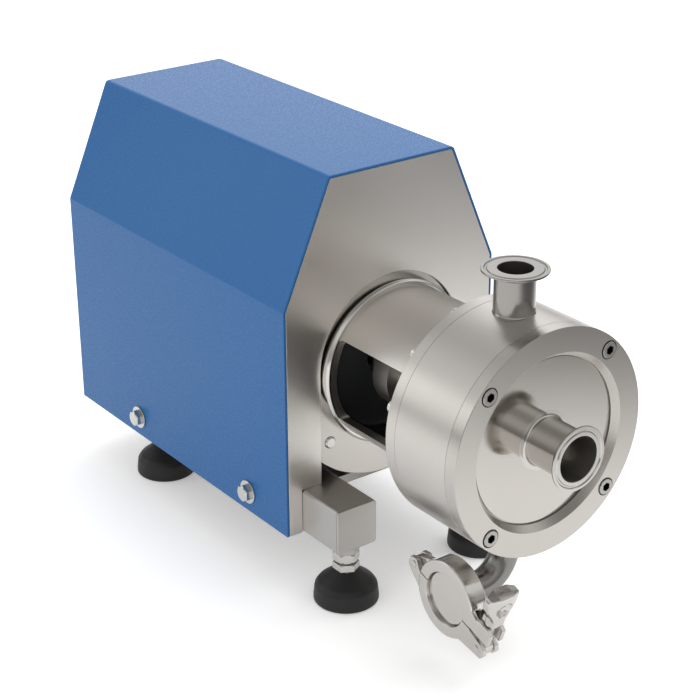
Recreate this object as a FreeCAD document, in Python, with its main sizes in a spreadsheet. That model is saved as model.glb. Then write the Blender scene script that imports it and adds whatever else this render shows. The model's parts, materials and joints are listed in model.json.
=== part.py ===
import FreeCAD, Part
import math
import os
import Sketcher

# Inline high shear mixer: a foot and flange motor under a folded cover, a lantern,
# and a pump chamber with an inlet, an outlet and a capped drain.
# Every sub-part is drawn from one point: the chamber's front face on the shaft axis,
# x to the right seen from the front, y backwards and z up.

doc = FreeCAD.newDocument("mixer")
sheet = doc.addObject("Spreadsheet::Sheet", "dims")

DIMENSIONS = {
    # where the drawing point lies in the finished frame
    "face_y": -258,
    # folded cover
    "cover_top_width": 121,
    "cover_top": 166,
    "cover_shoulder": 66,
    "cover_bottom": -128,
    "cover_front": 186,
    "cover_length": 330,
    "sheet_thick": 2,
    "bend_radius": 2.5,
    "panel_gap": 0.3,
    "throat_radius": 68.8,
    # rails and feet
    "rail_x": 70,
    "rail_size": 38,
    "rail_wall": 2,
    "rail_corner": 3,
    "standoff_length": 13,
    "rail_front": 139,
    "rail_rear": 508,
    "foot_front_y": 154,
    "foot_rear_y": 429,
    "pad_radius": 26.4,
    "pad_height": 27.5,
    "stud_radius": 6,
    "nut_flats": 19,
    "weld_nut_height": 8.4,
    "lock_nut_height": 7.2,
    "stud_nut_height": 7,
    "foot_thread_shown": 1.9,
    "side_bolt_front_y": 241,
    "side_bolt_rear_y": 413,
    "side_bolt_z": -110,
    # motor, frame size 90
    "shoulder_y": 200,
    "shaft_end_y": 150,
    "motor_hole_front_y": 256,
    "motor_hole_pitch": 125,
    "stator_radius": 68,
    "bearing_outer": 26,
    "bearing_inner": 12.5,
    "bearing_width": 15,
    "motor_shaft_radius": 12,
    # lantern
    "lantern_radius": 64,
    "lantern_bore": 58,
    "collar_radius": 67.4,
    "window_half_height": 34.5,
    "window_front_y": 94,
    "window_rear_y": 179.5,
    "lantern_screw_circle": 82,
    # chamber
    "chamber_radius": 90,
    "cavity_radius": 67,
    "cover_plate_thick": 11,
    "body_rear_y": 68,
    "lantern_face_y": 78.4,
    "recess_radius": 70.5,
    "recess_depth": 6.5,
    "recess_floor_radius": 65.6,
    "cover_screw_circle": 81,
    "cover_screw_turn": 2.5,
    "port_y": 43.7,
    # sanitary ends
    "ferrule_radius": 25.25,
    "ferrule_rim": 1.6,
    "inlet_face_y": -30,
    "inlet_radius": 19,
    "inlet_bore": 17.8,
    "outlet_top": 123.4,
    "outlet_radius": 15.5,
    "outlet_bore": 13.2,
    "drain_radius": 11.5,
    "drain_bore": 10,
    "drain_bend": 28,
    "drain_z": -131,
    "drain_x": -52,
    # pipe clamp on the drain
    "clamp_radius": 31.5,
    "clamp_opening": 21.75,
    "clamp_width": 16,
    "clamp_tilt": 20,
    "clamp_pin_radius": 3,
    "swing_pin_y": -42.7,
    "swing_pin_z": -10.1,
    "hinge_pin_y": 39.6,
    "nut_seat": 25.5,
}


class Size:
    """A number together with the sheet expression that gives it"""

    def __init__(self, text, number):
        self.text = text
        self.number = number

    def __add__(self, other):
        other = sized(other)
        return Size(f"({self.text} + {other.text})", self.number + other.number)

    def __radd__(self, other):
        return sized(other) + self

    def __sub__(self, other):
        other = sized(other)
        return Size(f"({self.text} - {other.text})", self.number - other.number)

    def __rsub__(self, other):
        return sized(other) - self

    def __mul__(self, other):
        other = sized(other)
        return Size(f"({self.text} * {other.text})", self.number * other.number)

    def __rmul__(self, other):
        return self * other

    def __truediv__(self, other):
        other = sized(other)
        return Size(f"({self.text} / {other.text})", self.number / other.number)

    def __neg__(self):
        return Size(f"(0 - {self.text})", -self.number)


def sized(value):
    """A plain number as a size that reads the same in an expression"""
    return value if isinstance(value, Size) else Size(f"({float(value)})", float(value))


def half_angle_tangent(slope):
    """Tangent of half the angle whose tangent is the slope"""
    return Size(f"tan(atan({slope.text}) / 2)", math.tan(math.atan(slope.number) / 2))


def below_circle(radius, across):
    """Height of the lower side of a circle round the origin, at a distance from its middle"""
    text = f"(0 - sqrt({radius.text} * {radius.text} - {across.text} * {across.text}))"
    return Size(text, -math.sqrt(radius.number ** 2 - across.number ** 2))


def on_circle(radius, degrees):
    """Point on a circle round the origin"""
    radius = sized(radius)
    degrees = sized(degrees)
    angle = math.radians(degrees.number)
    across = Size(f"({radius.text} * cos({degrees.text} * 1 deg))", radius.number * math.cos(angle))
    up = Size(f"({radius.text} * sin({degrees.text} * 1 deg))", radius.number * math.sin(angle))
    return across, up


class Dimensions:
    """The driving dimensions, each as a size bound to its cell"""


d = Dimensions()
for row, (alias, number) in enumerate(DIMENSIONS.items(), 1):
    sheet.set(f"A{row}", alias)
    sheet.set(f"B{row}", str(number))
    sheet.setAlias(f"B{row}", alias)
    setattr(d, alias, Size(f"dims.{alias}", float(number)))
doc.recompute()

# lengths that follow from the driving ones
d.housing_radius = d.stator_radius + 10
d.fin_radius = d.stator_radius + 19
d.shield_radius = d.stator_radius + 16
d.flange_circle = d.stator_radius + 14.5
d.flange_radius = d.flange_circle + 17.5
d.spigot_radius = d.flange_circle - 17.5
d.rail_top = -(d.stator_radius + 22)
rail_outer = d.rail_x + d.rail_size / 2
rail_inner = d.rail_x - d.rail_size / 2
rail_bottom = d.rail_top - d.rail_size
d.cover_width = 2 * (rail_outer + d.standoff_length + d.sheet_thick)
foot_stack = d.pad_height + d.stud_nut_height + d.foot_thread_shown + d.lock_nut_height + d.weld_nut_height
d.axis_height = foot_stack - rail_bottom

nodes = {}

HEX_POINT = 1 / math.cos(math.radians(30))
TAPER = math.tan(math.radians(20))


def bind(item, name, value):
    """Give a property a number, or the expression of a size"""
    value = sized(value)
    if "dims." in value.text:
        item.setExpression(name, value.text)
    elif "." in name:
        item.setExpression(name, str(value.number))
    else:
        setattr(item, name, value.number)


def own(body, role):
    """One of the body's own planes or axes"""
    for feature in body.Origin.OriginFeatures:
        if feature.Role == role:
            return feature
    raise ValueError(role)


def place(item, x=0, y=0, z=0, turn=None):
    """Move a finished sub-part to its point, given from the drawing point"""
    if turn:
        axis, degrees = turn
        bind(item, "Placement.Rotation.Angle", degrees)
        item.Placement = FreeCAD.Placement(FreeCAD.Vector(), FreeCAD.Rotation(axis, sized(degrees).number))
    bind(item, "Placement.Base.x", x)
    bind(item, "Placement.Base.y", d.face_y + y)
    bind(item, "Placement.Base.z", d.axis_height + z)


def new_body(label, x=0, y=0, z=0, turn=None):
    """A named body at its point"""
    body = doc.addObject("PartDesign::Body", label)
    body.Label = label
    place(body, x, y, z, turn)
    nodes[label] = body
    return body


def circle(x, y, radius):
    """A round outline"""
    return {"centre": (x, y), "radius": radius}


def rectangle(x_low, y_low, x_high, y_high):
    """A four-cornered outline"""
    return [(x_low, y_low), (x_high, y_low), (x_high, y_high), (x_low, y_high)]


def hexagon(x, y, flats, first=0):
    """A six-cornered outline given by its width across flats"""
    corners = []
    for step in range(6):
        across, up = on_circle(sized(flats) * (HEX_POINT / 2), first + 60 * step)
        corners.append((x + across, y + up))
    return corners


def fix_point(sketch, geometry, point, x, y):
    """Tie one point of a sketch to its two coordinates"""
    for kind, axis, value in (("DistanceX", -2, x), ("DistanceY", -1, y)):
        value = sized(value)
        if abs(value.number) < 1e-9:
            sketch.addConstraint(Sketcher.Constraint("PointOnObject", geometry, point, axis))
            continue
        index = sketch.addConstraint(Sketcher.Constraint(kind, -1, 1, geometry, point, value.number))
        if "dims." in value.text:
            sketch.setExpression(f"Constraints[{index}]", value.text)


def draw(body, plane, outlines, start=0):
    """Sketch closed outlines on one of the body's own planes"""
    sketch = body.newObject("Sketcher::SketchObject", f"{body.Name}_outline")
    sketch.AttachmentSupport = (own(body, plane), "")
    sketch.MapMode = "FlatFace"
    bind(sketch, "AttachmentOffset.Base.z", -start if plane == "XZ_Plane" else start)
    for outline in outlines:
        if isinstance(outline, dict):
            x, y = outline["centre"]
            radius = sized(outline["radius"])
            centre = FreeCAD.Vector(sized(x).number, sized(y).number, 0)
            ring = sketch.addGeometry(Part.Circle(centre, FreeCAD.Vector(0, 0, 1), radius.number))
            fix_point(sketch, ring, 3, x, y)
            index = sketch.addConstraint(Sketcher.Constraint("Radius", ring, radius.number))
            if "dims." in radius.text:
                sketch.setExpression(f"Constraints[{index}]", radius.text)
            continue
        corners = [FreeCAD.Vector(sized(x).number, sized(y).number, 0) for x, y in outline]
        lines = []
        for number, corner in enumerate(corners):
            lines.append(sketch.addGeometry(Part.LineSegment(corner, corners[(number + 1) % len(corners)])))
        for number, line in enumerate(lines):
            following = lines[(number + 1) % len(lines)]
            sketch.addConstraint(Sketcher.Constraint("Coincident", line, 2, following, 1))
        for line, (x, y) in zip(lines, outline):
            fix_point(sketch, line, 1, x, y)
    return sketch


def pad(body, plane, outlines, start, length, middle=False):
    """Add the outlines as solid, from start towards the positive side of the axis"""
    sketch = draw(body, plane, outlines, start)
    feature = body.newObject("PartDesign::Pad", f"{body.Name}_pad")
    feature.Profile = sketch
    bind(feature, "Length", length)
    feature.Midplane = middle
    feature.Reversed = plane == "XZ_Plane" and not middle
    sketch.Visibility = False
    return feature


def pocket(body, plane, outlines, start, length, middle=False):
    """Cut the outlines out, from start towards the positive side of the axis"""
    sketch = draw(body, plane, outlines, start)
    feature = body.newObject("PartDesign::Pocket", f"{body.Name}_pocket")
    feature.Profile = sketch
    bind(feature, "Length", length)
    feature.Midplane = middle
    feature.Reversed = plane != "XZ_Plane" and not middle
    sketch.Visibility = False
    return feature


TURNING = {"X": ("XZ_Plane", "H_Axis"), "Y": ("YZ_Plane", "H_Axis"), "Z": ("XZ_Plane", "V_Axis")}


def revolve(body, axis, outline, kind="Revolution"):
    """Turn an outline round one of the body's axes, as solid or as a groove"""
    plane, line = TURNING[axis]
    sketch = draw(body, plane, [outline])
    feature = body.newObject(f"PartDesign::{kind}", f"{body.Name}_turned")
    feature.Profile = sketch
    feature.ReferenceAxis = (sketch, [line])
    feature.Angle = 360
    sketch.Visibility = False
    return feature


def turned(label, axis, outline, **position):
    """A body turned round one axis, its outline given as (along, radius) or (radius, up)"""
    body = new_body(label, **position)
    revolve(body, axis, outline)
    return body


def repeat_round(body, features, axis, count):
    """Repeat features evenly round one of the body's axes"""
    pattern = body.newObject("PartDesign::PolarPattern", f"{body.Name}_ring")
    pattern.Originals = features
    pattern.Axis = (own(body, f"{axis}_Axis"), [""])
    pattern.Angle = 360
    pattern.Occurrences = count
    body.Tip = pattern
    return pattern


def round_edges(body, radius, chosen):
    """Round those edges of the body so far that the test picks"""
    doc.recompute()
    base = body.Tip
    names = [f"Edge{number}" for number, edge in enumerate(base.Shape.Edges, 1) if chosen(edge)]
    feature = body.newObject("PartDesign::Fillet", f"{body.Name}_rounding")
    feature.Base = (base, names)
    bind(feature, "Radius", radius)
    return feature


def runs_along(edge, axis, shortest=0):
    """Whether an edge is straight, parallel to the axis and long enough"""
    if len(edge.Vertexes) != 2 or edge.Length < shortest:
        return False
    start, end = (vertex.Point for vertex in edge.Vertexes)
    return abs(abs((end - start)[axis]) - edge.Length) < 1e-6


def barrel(x, y, z, direction, radius, length):
    """A loose cylinder that starts at a point and runs along a direction"""
    item = doc.addObject("Part::Cylinder", "barrel")
    bind(item, "Radius", radius)
    bind(item, "Height", length)
    return aim(item, x, y, z, direction)


def hex_bar(x, y, z, direction, flats, length):
    """A loose hexagonal bar that starts at a point and runs along a direction"""
    item = doc.addObject("Part::Prism", "hex_bar")
    item.Polygon = 6
    bind(item, "Circumradius", sized(flats) * (HEX_POINT / 2))
    bind(item, "Height", length)
    return aim(item, x, y, z, direction)


def cone(x, y, z, direction, first_radius, last_radius, length):
    """A loose cone or tapered bar"""
    item = doc.addObject("Part::Cone", "cone")
    bind(item, "Radius1", first_radius)
    bind(item, "Radius2", last_radius)
    bind(item, "Height", length)
    return aim(item, x, y, z, direction)


def block(x, y, z, width, depth, height):
    """A loose block given by its low corner"""
    item = doc.addObject("Part::Box", "block")
    bind(item, "Length", width)
    bind(item, "Width", depth)
    bind(item, "Height", height)
    return aim(item, x, y, z, UP)


UP = FreeCAD.Vector(0, 0, 1)
DOWN = FreeCAD.Vector(0, 0, -1)
RIGHT = FreeCAD.Vector(1, 0, 0)
LEFT = FreeCAD.Vector(-1, 0, 0)
BACK = FreeCAD.Vector(0, 1, 0)
FORWARD = FreeCAD.Vector(0, -1, 0)


def aim(item, x, y, z, direction):
    """Stand a loose piece on its point, its axis along the direction"""
    item.Placement = FreeCAD.Placement(FreeCAD.Vector(), FreeCAD.Rotation(UP, direction))
    bind(item, "Placement.Base.x", x)
    bind(item, "Placement.Base.y", y)
    bind(item, "Placement.Base.z", z)
    return item


def fuse(pieces):
    """Join loose pieces into one solid"""
    item = doc.addObject("Part::MultiFuse", "joined")
    item.Shapes = pieces
    return item


def cut(piece, tool):
    """Take one loose piece out of another"""
    item = doc.addObject("Part::Cut", "cut")
    item.Base = piece
    item.Tool = tool
    return item


def name_node(label, item):
    """Make a boolean or a group of solids a named sub-part"""
    item.Label = label
    place(item)
    nodes[label] = item
    return item


def group(label, pieces):
    """Several like pieces that share one node"""
    item = doc.addObject("Part::Compound", label)
    item.Links = pieces
    return name_node(label, item)


# Cover and its two panels

def cover_outline(inset):
    """Corners of the cover's section, moved inwards by the inset, from bottom left to bottom right"""
    slope = (d.cover_width - d.cover_top_width) / 2 / (d.cover_top - d.cover_shoulder)
    steep = (d.cover_top - d.cover_shoulder) / ((d.cover_width - d.cover_top_width) / 2)
    side = d.cover_width / 2 - inset
    shoulder = d.cover_shoulder - half_angle_tangent(slope) * inset
    edge = d.cover_top_width / 2 - half_angle_tangent(steep) * inset
    top = d.cover_top - inset
    return [
        (-side, d.cover_bottom),
        (-side, shoulder),
        (-edge, top),
        (edge, top),
        (side, shoulder),
        (side, d.cover_bottom),
    ]


def long_edge(edge):
    """Whether an edge runs along the machine for most of its length"""
    return runs_along(edge, 1, d.cover_length.number / 2)


def bend_line(edge):
    """Whether an edge is one of the cover's long bends"""
    return long_edge(edge) and edge.Vertexes[0].Z > 0


cover = new_body("motor_cover")
pad(cover, "XZ_Plane", [cover_outline(sized(0)) + cover_outline(d.sheet_thick)[::-1]], d.cover_front, d.cover_length)
round_edges(cover, d.bend_radius, bend_line)
side_holes = [circle(y, d.side_bolt_z, 4.5) for y in (d.side_bolt_front_y, d.side_bolt_rear_y)]
pocket(cover, "YZ_Plane", side_holes, -d.cover_width, d.cover_width * 2)

front_outline = cover_outline(d.sheet_thick + d.panel_gap) + [
    (rail_outer, d.cover_bottom),
    (rail_outer, d.rail_top),
    (-rail_outer, d.rail_top),
    (-rail_outer, d.cover_bottom),
]
panel = new_body("front_panel")
pad(panel, "XZ_Plane", [front_outline], d.cover_front, d.sheet_thick)
pocket(panel, "XZ_Plane", [circle(0, 0, d.throat_radius)], d.cover_front, d.sheet_thick)
throat = rectangle(-d.throat_radius, d.rail_top * 2, d.throat_radius, 0)
pocket(panel, "XZ_Plane", [throat], d.cover_front, d.sheet_thick)

rear_start = d.cover_front + d.cover_length - d.sheet_thick
gland_x = -55
gland_z = -70
gland_radius = 8
panel = new_body("rear_panel")
pad(panel, "XZ_Plane", [cover_outline(d.sheet_thick)], rear_start, d.sheet_thick)
slot_width = 100
slot_height = 5
slots = [rectangle(-slot_width / 2, z, slot_width / 2, z + slot_height) for z in range(-40, 60, 14)]
pocket(panel, "XZ_Plane", slots, rear_start, d.sheet_thick)
pocket(panel, "XZ_Plane", [circle(gland_x, gland_z, gland_radius + 0.1)], rear_start, d.sheet_thick)

gland_y = rear_start + d.sheet_thick
group("cable_gland", [
    cut(
        fuse([
            barrel(gland_x, rear_start - 6, gland_z, BACK, gland_radius, 10),
            hex_bar(gland_x, gland_y, gland_z, BACK, 24, 8),
            barrel(gland_x, gland_y + 8, gland_z, BACK, 10.5, 14),
            cone(gland_x, gland_y + 22, gland_z, BACK, 10.5, 7.5, 8),
        ]),
        barrel(gland_x, rear_start - 10, gland_z, BACK, 4.5, 60),
    ),
    cut(
        hex_bar(gland_x, rear_start - 5, gland_z, BACK, 22, 5),
        barrel(gland_x, rear_start - 10, gland_z, BACK, gland_radius, 20),
    ),
])

# Bolts that hold the cover on the rails

washer_thick = 1.6
bolts = []
washers = []
standoffs = []
for side, direction in ((-1, LEFT), (1, RIGHT)):
    for y in (d.side_bolt_front_y, d.side_bolt_rear_y):
        skin = side * d.cover_width / 2
        seat = skin + side * washer_thick
        shank = barrel(seat - side * 14, y, d.side_bolt_z, direction, 4, 14)
        bolts.append(fuse([shank, hex_bar(seat, y, d.side_bolt_z, direction, 13, 5.3)]))
        ring = barrel(skin, y, d.side_bolt_z, direction, 10, washer_thick)
        washers.append(cut(ring, barrel(skin, y, d.side_bolt_z, direction, 4.2, washer_thick)))
        post = barrel(side * rail_outer, y, d.side_bolt_z, direction, 9, d.standoff_length)
        tapped = barrel(side * rail_outer, y, d.side_bolt_z, direction, 4.05, d.standoff_length)
        standoffs.append(cut(post, tapped))
group("cover_bolts", bolts)
group("cover_washers", washers)
group("cover_standoffs", standoffs)

# Rails with the nuts welded to them

cap_thick = 2
motor_hole_ys = (d.motor_hole_front_y, d.motor_hole_front_y + d.motor_hole_pitch)
foot_ys = (d.foot_front_y, d.foot_rear_y)
for label, side in (("base_rail_left", -1), ("base_rail_right", 1)):
    rail = new_body(label, x=side * d.rail_x)
    half = d.rail_size / 2
    tube_length = d.rail_rear - d.rail_front - 2 * cap_thick
    pad(rail, "XZ_Plane", [rectangle(-half, rail_bottom, half, d.rail_top)], d.rail_front + cap_thick, tube_length)
    round_edges(rail, d.rail_corner, long_edge)
    hollow = rectangle(
        d.rail_wall - half, rail_bottom + d.rail_wall, half - d.rail_wall, d.rail_top - d.rail_wall
    )
    pocket(rail, "XZ_Plane", [hollow], d.rail_front, d.rail_rear)
    weld_nuts = [hexagon(0, y, d.nut_flats) for y in foot_ys]
    pad(rail, "XY_Plane", weld_nuts, rail_bottom - d.weld_nut_height, d.weld_nut_height)
    inserts = [circle(0, y, 8) for y in motor_hole_ys]
    pad(rail, "XY_Plane", inserts, d.rail_top - d.rail_wall - 8, 8)
    stud_holes = [circle(0, y, d.stud_radius + 0.05) for y in foot_ys]
    pocket(rail, "XY_Plane", stud_holes, rail_bottom - 12, 20)
    bolt_holes = [circle(0, y, 4.05) for y in motor_hole_ys]
    pocket(rail, "XY_Plane", bolt_holes, d.rail_top - 14, 20)

caps = new_body("rail_end_caps")
for start in (d.rail_front, d.rail_rear - cap_thick):
    squares = [
        rectangle(-rail_outer, rail_bottom, -rail_inner, d.rail_top),
        rectangle(rail_inner, rail_bottom, rail_outer, d.rail_top),
    ]
    pad(caps, "XZ_Plane", squares, start, cap_thick)
round_edges(caps, d.rail_corner, lambda edge: runs_along(edge, 1))

cross_width = 30
cross_thick = 8
group("cross_members", [
    block(-rail_inner, y, rail_bottom + 4, rail_inner * 2, cross_width, cross_thick) for y in (225, 455)
])

# Feet: a moulded pad on a threaded stud, one under each rail end

pad_rim = 4
hub_radius = 10
pad_outline = [
    (0, 0),
    (d.pad_radius, 0),
    (d.pad_radius, pad_rim),
    (d.pad_radius - 1.2, pad_rim + 9),
    (d.pad_radius - 3.2, pad_rim + 12.5),
    (hub_radius, d.pad_height),
    (8, d.pad_height),
    (8, d.pad_height - 8),
    (0, d.pad_height - 8),
]
stud_top = 85
lock_nut_top = rail_bottom - d.weld_nut_height
floor = -d.axis_height
FEET = {
    "front_left": (-1, d.foot_front_y),
    "front_right": (1, d.foot_front_y),
    "rear_left": (-1, d.foot_rear_y),
    "rear_right": (1, d.foot_rear_y),
}
for corner, (side, y) in FEET.items():
    turned(f"foot_pad_{corner}", "Z", pad_outline, x=side * d.rail_x, y=y, z=floor)
    stud = turned(f"foot_stud_{corner}", "Z", [
        (0, d.pad_height - 8),
        (8, d.pad_height - 8),
        (8, d.pad_height),
        (d.stud_radius, d.pad_height),
        (d.stud_radius, stud_top - 1),
        (d.stud_radius - 1, stud_top),
        (0, stud_top),
    ], x=side * d.rail_x, y=y, z=floor)
    pad(stud, "XY_Plane", [hexagon(0, 0, d.nut_flats)], d.pad_height, d.stud_nut_height)

lock_nuts = []
for side in (-1, 1):
    for y in foot_ys:
        x = side * d.rail_x
        nut = hex_bar(x, y, lock_nut_top, DOWN, d.nut_flats, d.lock_nut_height)
        lock_nuts.append(cut(nut, barrel(x, y, lock_nut_top, DOWN, d.stud_radius + 0.05, d.lock_nut_height)))
group("foot_lock_nuts", lock_nuts)

# Motor housing with its feet and fins

flange_rear = d.shoulder_y + 12
housing_rear = 420
fin_front = 228
foot_top = d.rail_top + 10
housing = new_body("motor_housing")
bore = circle(0, 0, d.stator_radius)
pad(housing, "XZ_Plane", [circle(0, 0, d.stator_radius + 4.4), bore], flange_rear, housing_rear - flange_rear)
pad(housing, "XZ_Plane", [circle(0, 0, d.housing_radius), bore], fin_front, housing_rear - fin_front)
web_outer = d.rail_x - 8
web_inner = d.rail_x - 20
web_circle = d.housing_radius - 1.5
foot_bracket = [
    (web_inner, d.rail_top),
    (rail_outer - 1, d.rail_top),
    (rail_outer - 1, foot_top),
    (web_outer, foot_top),
    (web_outer, below_circle(web_circle, web_outer)),
    (web_inner, below_circle(web_circle, web_inner)),
]
mirrored_bracket = [(-x, z) for x, z in foot_bracket]
foot_margin = 18
pad(
    housing, "XZ_Plane", [foot_bracket, mirrored_bracket],
    d.motor_hole_front_y - foot_margin, d.motor_hole_pitch + 2 * foot_margin,
)
box_front = 252
box_depth = 80
seat_margin = 2
terminal_seat_z = d.fin_radius + 1
seat = rectangle(-38, d.stator_radius + 0.5, 38, terminal_seat_z)
pad(housing, "XZ_Plane", [seat], box_front - seat_margin, box_depth + 2 * seat_margin)
fin_outline = rectangle(-1.3, d.housing_radius - 3, 1.3, d.fin_radius)
fin = pad(housing, "XZ_Plane", [fin_outline], fin_front, housing_rear - fin_front)
repeat_round(housing, [fin], "Y", 40)
holes = [circle(side * d.rail_x, y, 5) for side in (-1, 1) for y in motor_hole_ys]
pocket(housing, "XY_Plane", holes, d.rail_top - 1, 12)

foot_bolts = []
for side in (-1, 1):
    for y in motor_hole_ys:
        x = side * d.rail_x
        shank = barrel(x, y, foot_top, DOWN, 4, 20)
        foot_bolts.append(fuse([shank, hex_bar(x, y, foot_top, UP, 13, 5.3)]))
group("motor_foot_bolts", foot_bolts)

# Motor shields, windings, shaft and bearings

front_bearing_y = d.shoulder_y + 7
rear_bearing_y = 410
shield = turned("motor_flange", "Y", [
    (d.shoulder_y - 3.5, 16),
    (d.shoulder_y - 3.5, d.spigot_radius),
    (d.shoulder_y, d.spigot_radius),
    (d.shoulder_y, d.flange_radius),
    (flange_rear, d.flange_radius),
    (flange_rear, d.stator_radius),
    (front_bearing_y + d.bearing_width, d.stator_radius),
    (front_bearing_y + d.bearing_width, d.bearing_outer),
    (front_bearing_y, d.bearing_outer),
    (front_bearing_y, 16),
])
hole = pocket(shield, "XZ_Plane", [circle(*on_circle(d.flange_circle, 45), 5.5)], d.shoulder_y - 1, 14)
repeat_round(shield, [hole], "Y", 4)

turned("motor_rear_shield", "Y", [
    (rear_bearing_y, d.bearing_outer),
    (rear_bearing_y, d.stator_radius),
    (housing_rear, d.stator_radius),
    (housing_rear, d.shield_radius),
    (housing_rear + 10, d.shield_radius),
    (housing_rear + 10, 14),
    (rear_bearing_y + d.bearing_width, 14),
    (rear_bearing_y + d.bearing_width, d.bearing_outer),
])

stator_front = 250
stator_rear = 370
winding = 15
winding_radius = d.stator_radius - 6
turned("motor_stator", "Y", [
    (stator_front - winding, 46),
    (stator_front - winding, winding_radius),
    (stator_front, winding_radius),
    (stator_front, d.stator_radius),
    (stator_rear, d.stator_radius),
    (stator_rear, winding_radius),
    (stator_rear + winding, winding_radius),
    (stator_rear + winding, 46),
    (stator_rear, 46),
    (stator_rear, 40),
    (stator_front, 40),
    (stator_front, 46),
])

core_radius = 15
rotor = turned("motor_rotor", "Y", [
    (stator_front - 6, core_radius),
    (stator_front - 6, 36),
    (stator_front, 36),
    (stator_front, 39.5),
    (stator_rear, 39.5),
    (stator_rear, 36),
    (stator_rear + 6, 36),
    (stator_rear + 6, core_radius),
])

fan_y = 434
fan_width = 22
turned("motor_shaft", "Y", [
    (d.shaft_end_y, 0),
    (d.shaft_end_y, d.motor_shaft_radius - 1),
    (d.shaft_end_y + 1, d.motor_shaft_radius),
    (front_bearing_y - 1, d.motor_shaft_radius),
    (front_bearing_y - 1, d.bearing_inner),
    (front_bearing_y + d.bearing_width, d.bearing_inner),
    (front_bearing_y + d.bearing_width, core_radius),
    (rear_bearing_y, core_radius),
    (rear_bearing_y, d.bearing_inner),
    (rear_bearing_y + d.bearing_width + 3, d.bearing_inner),
    (rear_bearing_y + d.bearing_width + 3, 10),
    (fan_y + fan_width + 2, 10),
    (fan_y + fan_width + 2, 0),
])

race_outer = 18.3
race_inner = 17.8
for label, inner, outer in (
    ("bearing_outer_rings", race_outer, d.bearing_outer),
    ("bearing_inner_rings", d.bearing_inner, race_inner),
):
    rings = []
    for y in (front_bearing_y, sized(rear_bearing_y)):
        rings.append(cut(barrel(0, y, 0, BACK, outer, d.bearing_width), barrel(0, y, 0, BACK, inner, d.bearing_width)))
    group(label, rings)

fan = turned("cooling_fan", "Y", [
    (fan_y, 10),
    (fan_y, d.stator_radius - 2),
    (fan_y + 2.5, d.stator_radius - 2),
    (fan_y + 2.5, 18),
    (fan_y + fan_width, 16),
    (fan_y + fan_width, 10),
])
blade = pad(fan, "XZ_Plane", [rectangle(-1.2, 15, 1.2, d.stator_radius + 2)], fan_y + 1, fan_width - 2)
repeat_round(fan, [blade], "Y", 8)

cowl_rear = 485
cowl = turned("fan_cowl", "Y", [
    (housing_rear, d.shield_radius),
    (housing_rear, d.shield_radius + 1.5),
    (cowl_rear - 6, d.shield_radius + 1.5),
    (cowl_rear, d.shield_radius - 5),
    (cowl_rear, 0),
    (cowl_rear - 1.5, 0),
    (cowl_rear - 1.5, d.shield_radius - 6),
    (cowl_rear - 7, d.shield_radius),
])
for radius, count in ((25, 8), (40, 12), (56, 16)):
    grille = pocket(cowl, "XZ_Plane", [circle(radius, 0, 5.5)], cowl_rear - 3, 6)
    repeat_round(cowl, [grille], "Y", count)

box_wall = 3
box_half = 40
box_height = 34
box = new_body("terminal_box")
box_low = terminal_seat_z
box_rim = terminal_seat_z + box_height
pad(box, "XY_Plane", [rectangle(-box_half, box_front, box_half, box_front + box_depth)], box_low, box_height)
inside = rectangle(
    box_wall - box_half, box_front + box_wall, box_half - box_wall, box_front + box_depth - box_wall
)
pocket(box, "XY_Plane", [inside], box_low + box_wall, box_height)
pad(box, "XY_Plane", [rectangle(-22, box_front + 20, 22, box_front + 45)], box_low + box_wall, 14)

lid = new_body("terminal_lid")
pad(lid, "XY_Plane", [rectangle(-box_half, box_front, box_half, box_front + box_depth)], box_rim, 8)
round_edges(lid, 4, lambda edge: runs_along(edge, 2))

# Lantern between motor and chamber

chamber_rear = d.body_rear_y
flange_front = d.shoulder_y - 10
lantern = turned("lantern", "Y", [
    (chamber_rear, 48),
    (chamber_rear, d.chamber_radius),
    (d.lantern_face_y, d.chamber_radius),
    (d.lantern_face_y, d.lantern_radius),
    (flange_front - 9, d.lantern_radius),
    (flange_front - 9, d.collar_radius - 1.5),
    (flange_front - 7.5, d.collar_radius),
    (flange_front, d.collar_radius),
    (flange_front, d.flange_radius),
    (d.shoulder_y, d.flange_radius),
    (d.shoulder_y, d.spigot_radius),
    (d.shoulder_y - 3.5, d.spigot_radius),
    (d.shoulder_y - 3.5, d.lantern_bore),
    (d.lantern_face_y, d.lantern_bore),
    (d.lantern_face_y, 48),
])
window = rectangle(d.window_front_y, -d.window_half_height, d.window_rear_y, d.window_half_height)
pocket(lantern, "YZ_Plane", [window], -d.lantern_radius * 2, d.lantern_radius * 4)
round_edges(lantern, 5, lambda edge: runs_along(edge, 0) and edge.Length < 30)
screw_hole = circle(*on_circle(d.lantern_screw_circle, 15), 3.1)
hole = pocket(lantern, "XZ_Plane", [screw_hole], chamber_rear - 1, 20)
repeat_round(lantern, [hole], "Y", 12)
stud_hole = circle(*on_circle(d.flange_circle, 45), 5.05)
hole = pocket(lantern, "XZ_Plane", [stud_hole], flange_front - 1, 12)
repeat_round(lantern, [hole], "Y", 4)


def ring_of_screws(label, count, circle_radius, first, shank, head, socket):
    """Cap screws on a circle round the shaft; each part is (start, length, radius)"""
    body = new_body(label)
    x, z = on_circle(circle_radius, first)
    made = []
    for start, length, radius in (shank, head):
        made.append(pad(body, "XZ_Plane", [circle(x, z, radius)], start, length))
    start, length, flats = socket
    made.append(pocket(body, "XZ_Plane", [hexagon(x, z, flats)], start, length))
    repeat_round(body, made, "Y", count)
    return body


ring_of_screws(
    "lantern_screws", 12, d.lantern_screw_circle, 15,
    shank=(chamber_rear - 12, d.lantern_face_y - chamber_rear + 12, 3),
    head=(d.lantern_face_y, 6, 5),
    socket=(d.lantern_face_y + 3, 4, 5),
)

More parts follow.
